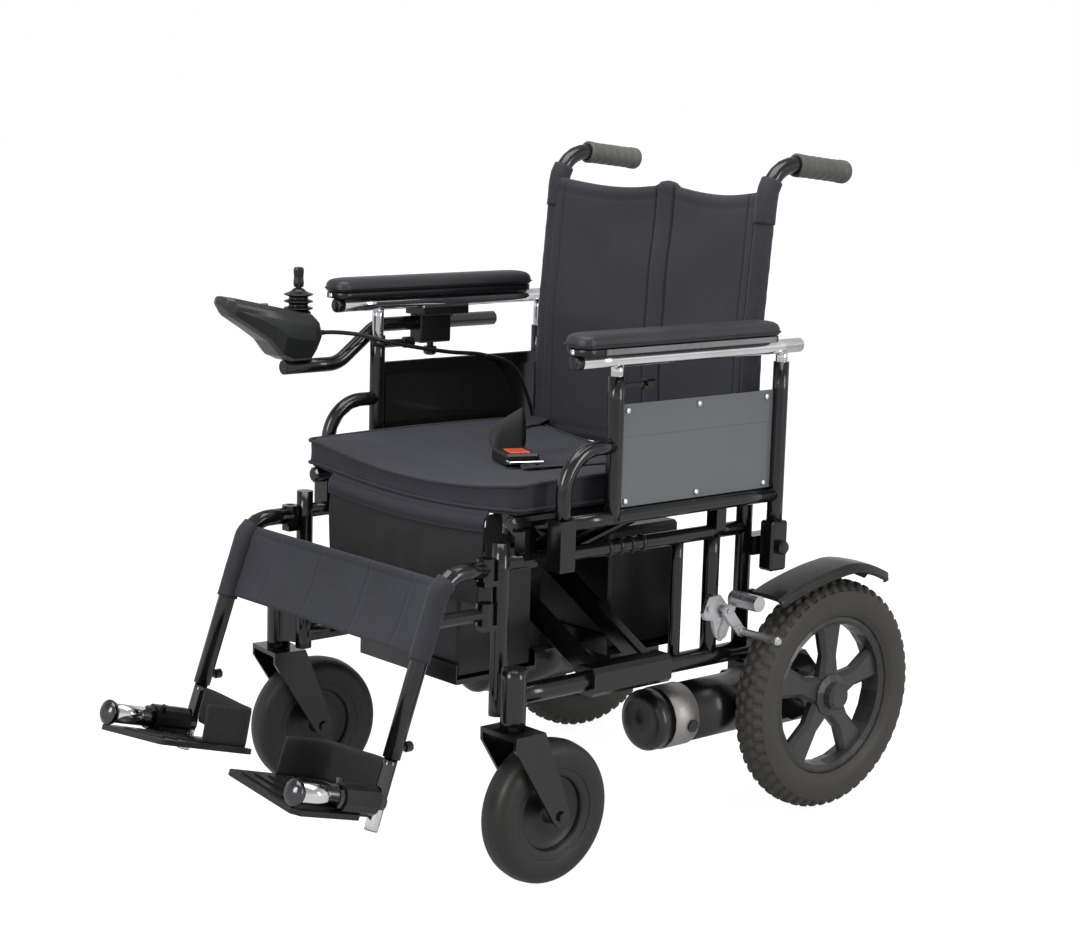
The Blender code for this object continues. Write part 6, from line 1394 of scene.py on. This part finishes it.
def laid(stations):
    """Stations on the cushion: the band's middle a little above it, its width tilted as the cushion is."""
    centres, widths = [], []
    for x, y, ax, ay, rise, longer in stations:
        flat = unit(np.array([ax, ay]))
        ends = [seat_top(x + flat[0] * w * 0.02, y + flat[1] * w * 0.02) for w in (1, -1)]
        z = max(sum(ends) / 2, seat_top(x, y)) + 0.0016 + rise
        centres.append((x, y, z))
        widths.append(unit(np.array([flat[0], flat[1], (ends[0] - ends[1]) / STRAP_WIDE])) * longer)
    return centres, widths


LEFT = [(0.187, 0.181, 0.99, -0.14, 0.0002, 1), (0.176, 0.142, 0.98, -0.20, 0.0002, 1)]
LEFT += [(0.162, 0.100, 0.97, -0.25, 0, 1), (0.149, 0.056, 0.965, -0.26, 0, 1)]
LEFT += [(0.134, 0.010, 0.96, -0.28, 0, 1), (0.1220, -0.030, 0.93, -0.40, 0.0004, 1.02)]
LEFT += [(0.1099, -0.0660, 0.60, -0.80, 0.0014, 1.28)]
RIGHT = [(-0.186, 0.181, 0.99, 0.13, 0.0002, 1), (-0.170, 0.145, 0.95, 0.30, 0, 1)]
RIGHT += [(-0.150, 0.115, 0.88, 0.48, 0, 1), (-0.128, 0.087, 0.80, 0.59, 0, 1)]
RIGHT += [(-0.105, 0.062, 0.73, 0.67, 0, 1), (-0.083, 0.045, 0.67, 0.73, 0, 1)]
RIGHT += [(-0.062, 0.030, 0.62, 0.78, 0, 1), (-0.034, 0.012, 0.55, 0.83, 0.0004, 1)]
HUMP = [(-0.019, 0.004, 0.018, 0.50, 0.86, 0.10), (-0.010, -0.004, 0.044, 0.40, 0.85, 0.35)]
HUMP += [(-0.0015, -0.014, 0.057, 0.25, 0.85, 0.47), (0.0070, -0.022, 0.044, 0.30, 0.88, 0.37)]
HUMP += [(0.0105, -0.0275, 0.020, 0.36, 0.92, 0.12)]
HUMP = [(*station[:3], *unit(np.array(station[3:]))) for station in HUMP]
HUMP.append((0.0117, -0.0285, 0.0072, 0.375, 0.927, 0.0))
TO_BUCKLE = [(0.0960, -0.0635, 0.0045, 0.375, -0.927, 0.0), (0.0862, -0.0586, 0.0080, 0.375, -0.927, 0.0)]
ROUTES, LIFTED = {1: LEFT, -1: RIGHT}, {1: TO_BUCKLE, -1: HUMP}
edge = seat_top(0.190, 0.186)
for side, label in SIDES:
    x = side * 0.190
    centres = [(x, 0.2160, 0.442), (x, 0.2095, 0.466), (x, 0.2086, edge - 0.008), (x, 0.2045, edge + 0.0034)]
    more, wide = laid(ROUTES[side])
    centres += more + [(a, b, buckle_low + c) for a, b, c, *_ in LIFTED[side]]
    widths = [(1.0, 0.0, 0.0)] * 4 + wide + [station[3:] for station in LIFTED[side]]
    name = label + "_lap_webbing"
    strap, long = strap_piece(name, centres, np.array(widths, float), STRAP_WIDE, STRAP_THICK, webbing)
    belongs(strap, "seat", "nylon", label + "_lap_strap")

# %% The seat's pieces take meshes of their own
SEAT_PIECES = ("seat_cushion_cover", "cushion_piping", "sling_", "left_sling", "right_sling", "hem_stitches")
SEAT_PIECES += ("left_lap_w", "right_lap_w")
for piece in list(bpy.context.scene.objects):
    if piece.name.startswith(SEAT_PIECES):
        across_fold(piece)

# %% Cable
CABLE = [(POD_X, -0.1534, 0.642), (POD_X, -0.136, 0.642), (-0.26, -0.115, 0.642), (-0.242, -0.088, 0.639)]
CABLE += [(-0.228, -0.06, 0.631), (-0.2255, -0.01, 0.62), (-0.227, 0.06, 0.608), (-0.226, 0.125, 0.6)]
CABLE += [(-0.2245, 0.18, 0.58), (-0.2264, 0.213, 0.53), (-0.2264, 0.224, 0.49), (-0.2264, 0.224, 0.435)]
line = spline(CABLE, 10)
CUT_AT, CABLE_R = 70, 0.0030
upper = tube_piece("cable_along_arm", line[: CUT_AT + 1], CABLE_R, black_plastic, 14)
lower = tube_piece("cable_down_cane", line[CUT_AT:], CABLE_R, black_plastic, 14)
belongs(upper, None, "black_plastic", "controller_cable")
belongs(lower, None, "black_plastic")
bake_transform(upper)
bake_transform(lower)
RELIEF = [(0.0003, 0.0), (0.0052, 0.0), (0.0052, 0.002), (0.0046, 0.006), (0.0048, 0.008), (0.0042, 0.012)]
RELIEF += [(0.0044, 0.014), (0.0036, 0.019), (0.0034, 0.022), (0.0003, 0.022)]
made = turned_piece("cable_relief", RELIEF, CABLE[0], (0, 1, 0), black_plastic, 28)
belongs(made, "controller", "black_plastic")

# %% [markdown]
# Gaiter, arm pads and small parts
# The joystick's gaiter is soft rubber with three ribs. An arm pad is foam on a board under stitched vinyl,
# which is swelled like the cushion, only less.

# %% Gaiter
bellows = [(0.0046, 0.0), (0.0165, 0.0), (0.0160, 0.0010), (0.0135, 0.0020)]
for ridge in (0.0052, 0.0148, 0.0243):
    bellows += [(0.0138, ridge - 0.0030), (0.0185, ridge - 0.0014), (0.0204, ridge)]
    bellows += [(0.0185, ridge + 0.0014), (0.0138, ridge + 0.0030)]
bellows += [(0.0100, 0.0295), (0.0085, 0.0312), (0.0060, 0.0326), (0.0046, 0.0330)]
foot = (POD_X, -0.1753, 0.6728)
made = turned_piece("ribbed_gaiter", spline(bellows, 3), foot, (0, 0, 1), black_plastic, 56, True)
belongs(made, None, "black_plastic", "joystick_gaiter")
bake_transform(made)

# %% Arm pads
PAD_X, PAD_HALF, PAD_FRONT, PAD_REAR, PAD_ROUND = 0.2505, 0.025, -0.136, 0.224, 0.62
PAD_BASE, SEAM_UP = 0.0098, 0.0135
BOARD_RINGS = [(0.0034, 0.0), (0.0030, 0.0006), (0.0030, 0.0076), (0.0034, 0.0082)]
COVER_RINGS = [(0.0048, 0.0084), (0.0020, 0.0088), (0.0010, 0.0105), (0.0009, 0.0140), (0.0012, 0.0180)]
COVER_RINGS += [(0.0030, 0.0222), (0.0065, 0.0248), (0.0120, 0.0262), (0.0185, 0.0266)]
PAD_SCREW = [(0.0, 0.0), (0.0032, 0.0), (0.0038, 0.0006), (0.0038, 0.0016), (0.0, 0.0022)]


def pad_loop(side, inset, z, count=120):
    """A long rounded outline at a height: flattened half circles at both ends, sides between."""
    r = PAD_HALF - inset
    y0, y1 = PAD_FRONT + inset + r * PAD_ROUND, PAD_REAR - inset - r * PAD_ROUND
    a = np.linspace(-np.pi, 0, 16)
    front = np.stack([np.cos(a) * r, y0 + np.sin(a) * r * PAD_ROUND], -1)
    rear = np.stack([-np.cos(a) * r, y1 - np.sin(a) * r * PAD_ROUND], -1)
    loop = np.concatenate([front, rear, front[:1]])
    length = length_so_far(loop)
    at = np.linspace(0, length[-1], count, endpoint=False)
    xy = np.stack([np.interp(at, length, loop[:, k]) for k in (0, 1)], -1)
    return np.column_stack([side * PAD_X + xy[:, 0], xy[:, 1], np.full(count, z)])


def pad_free(up):
    """Nothing moves on the board, the sides and top do, and the seam holds the cover in."""
    return smooth((up - 0.0095) / 0.004) * (1 - 0.8 * np.exp(-(((up - SEAM_UP) / 0.0012) ** 2)))


def rings_up(side, base, rings):
    """Outlines one over the other, from insets and heights."""
    return np.array([pad_loop(side, inset, base + z) for inset, z in rings])


for side, label in SIDES:
    base = ARM_TUBE_Z + ARM_LIFT[side] + PAD_BASE
    body = label + "_arm_top"
    board = grid_piece(label + "_pad_board", rings_up(side, base, BOARD_RINGS), black_plastic)
    belongs(board, body, "black_plastic")
    y, z = np.meshgrid(np.linspace(-0.098, 0.206, 40), base + np.linspace(0.0006, 0.0078, 8))
    plate = np.stack([0 * y + side * 0.2727, y, z], -1)
    outer = plate + (side * 0.0012, 0, 0)
    belongs(slab(label + "_pad_side", outer, plate, pad_side, y[0], z[:, 0]), body, "grey_plastic")
    cover = grid_piece(label + "_pad_cover", rings_up(side, base, COVER_RINGS), vinyl)
    remeshed(cover, 0.0026, 3)
    swell(cover, 3.0, 0.0011, lambda points: pad_free(points[:, 2] - base))
    refined(cover)
    belongs(cover, body, "vinyl", label + "_arm_pad")
    line = pad_loop(side, 0.0003, base + SEAM_UP, 160)
    belongs(tube_piece(label + "_pad_seam", line, 0.0009, black_plastic, 8, closed=True), body, "vinyl")
    foot = (side * PAD_X, -0.1328, base + 0.0042)
    belongs(turned_piece(label + "_pad_screw", PAD_SCREW, foot, (0, -1, 0), chrome, 24), body, "chrome")

# %% Rounded shell of the controller
def softened(name, node, width, body, slot_name):
    """A copy of a moulded shell whose edges are rounded by a bevel, as they are where it leaves its mould."""
    mesh = nodes[node].data.copy()
    shell = bmesh.new()
    shell.from_mesh(mesh)
    bmesh.ops.remove_doubles(shell, verts=shell.verts, dist=0.00001)
    bmesh.ops.dissolve_limit(shell, angle_limit=math.radians(1), verts=shell.verts, edges=shell.edges)
    shell.to_mesh(mesh)
    shell.free()
    made = bpy.data.objects.new(name, mesh)
    bpy.context.scene.collection.objects.link(made)
    change = made.modifiers.new("rounded", "BEVEL")
    change.width, change.segments, change.limit_method = width, 4, "ANGLE"
    change.angle_limit = math.radians(10)
    seen = made.evaluated_get(bpy.context.evaluated_depsgraph_get())
    mesh = bpy.data.meshes.new_from_object(seen)
    made.modifiers.clear()
    shade_smooth(mesh)
    mesh.materials.clear()
    mesh.materials.append(FINISHES[node])
    made.data = mesh
    return belongs(made, body, slot_name, node)


softened("rounded_pod", "controller_pod", 0.0035, "controller", "grey_plastic")

# %% [markdown]
# Studio
# The photograph is a catalogue picture on white, lit by large soft boxes. The floor is white to the camera
# and in reflections, and keeps the chair's shadow, because only a part of its brightness is its own. In
# reflections the sky is white at the horizon and grey above, so that the black enamel stays black between
# its white lines.

# %% Floor and world
def make_floor():
    """A wide floor whose white is partly its own light to the camera, and partly what falls on it."""
    mesh = bpy.data.meshes.new("floor")
    reach = 25.0
    corners = [(-reach, -reach, 0), (reach, -reach, 0), (reach, reach, 0), (-reach, reach, 0)]
    mesh.from_pydata(corners, [], [(0, 1, 2, 3)])
    floor = bpy.data.objects.new("floor", mesh)
    bpy.context.scene.collection.objects.link(floor)
    made = bpy.data.materials.new("white_floor")
    made.use_nodes = True
    tree = made.node_tree
    tree.nodes.clear()
    seen = tree.nodes.new("ShaderNodeLightPath").outputs
    mirrored = maths(tree, "MAXIMUM", seen["Is Glossy Ray"], seen["Is Transmission Ray"])
    shown = maths(tree, "MULTIPLY_ADD", mirrored, 0.35, maths(tree, "MULTIPLY", seen["Is Camera Ray"], 0.93))
    own = add_node(tree, "Emission", {"Color": (1, 1, 1, 1), "Strength": shown})
    fall = add_node(tree, "BsdfDiffuse", {"Color": (0.30, 0.30, 0.30, 1)})
    both = add_node(tree, "AddShader", {0: own.outputs[0], 1: fall.outputs[0]})
    end = add_node(tree, "OutputMaterial", {"Surface": both.outputs[0]})
    end.is_active_output = True
    mesh.materials.append(made)
    floor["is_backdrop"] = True


def make_world(light, horizon, zenith):
    """White to the camera, a gradient from horizon to zenith in reflections, an even light to the rest."""
    world = bpy.data.worlds.new("studio")
    bpy.context.scene.world = world
    world.use_nodes = True
    tree = world.node_tree
    seen = tree.nodes.new("ShaderNodeLightPath").outputs
    shown = maths(tree, "MAXIMUM", seen["Is Camera Ray"], seen["Is Transmission Ray"])
    where = tree.nodes.new("ShaderNodeTexCoord").outputs["Generated"]
    facing = add_node(tree, "SeparateXYZ", {0: where}).outputs["Z"]
    sky = spread(tree, facing, 0.05, 0.60, horizon, zenith)
    gap = maths(tree, "MULTIPLY", seen["Is Glossy Ray"], maths(tree, "SUBTRACT", sky, light))
    strength = maths(tree, "MAXIMUM", shown, maths(tree, "ADD", light, gap))
    tree.links.new(strength, tree.nodes["Background"].inputs["Strength"])
    tree.nodes["Background"].inputs["Color"].default_value = (1, 1, 1, 1)


make_floor()
make_world(0.50, 0.85, 0.42)

# %% Soft boxes
def soft_box(name, place, target, width, height, power):
    """A rectangular lamp that faces a point."""
    lamp = bpy.data.lights.new(name, "AREA")
    lamp.shape = "RECTANGLE"
    lamp.size, lamp.size_y, lamp.energy = width, height, power
    made = bpy.data.objects.new(name, lamp)
    bpy.context.scene.collection.objects.link(made)
    aim = Vector(target) - Vector(place)
    made.location = place
    made.rotation_euler = aim.to_track_quat("-Z", "Y").to_euler()


soft_box("top_box", (0.2, -0.3, 3.2), (0, 0, 0.3), 2.6, 2.0, 55)
soft_box("key_box", (0.4, -3.4, 2.2), (0, 0, 0.5), 1.2, 1.8, 50)
soft_box("side_box", (3.6, 1.2, 1.4), (0, 0, 0.5), 0.7, 2.2, 35)

# %% Sizes and finish
low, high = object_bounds()
print("visual size in mm:", [round((b - a) * 1000, 1) for a, b in zip(low, high)])
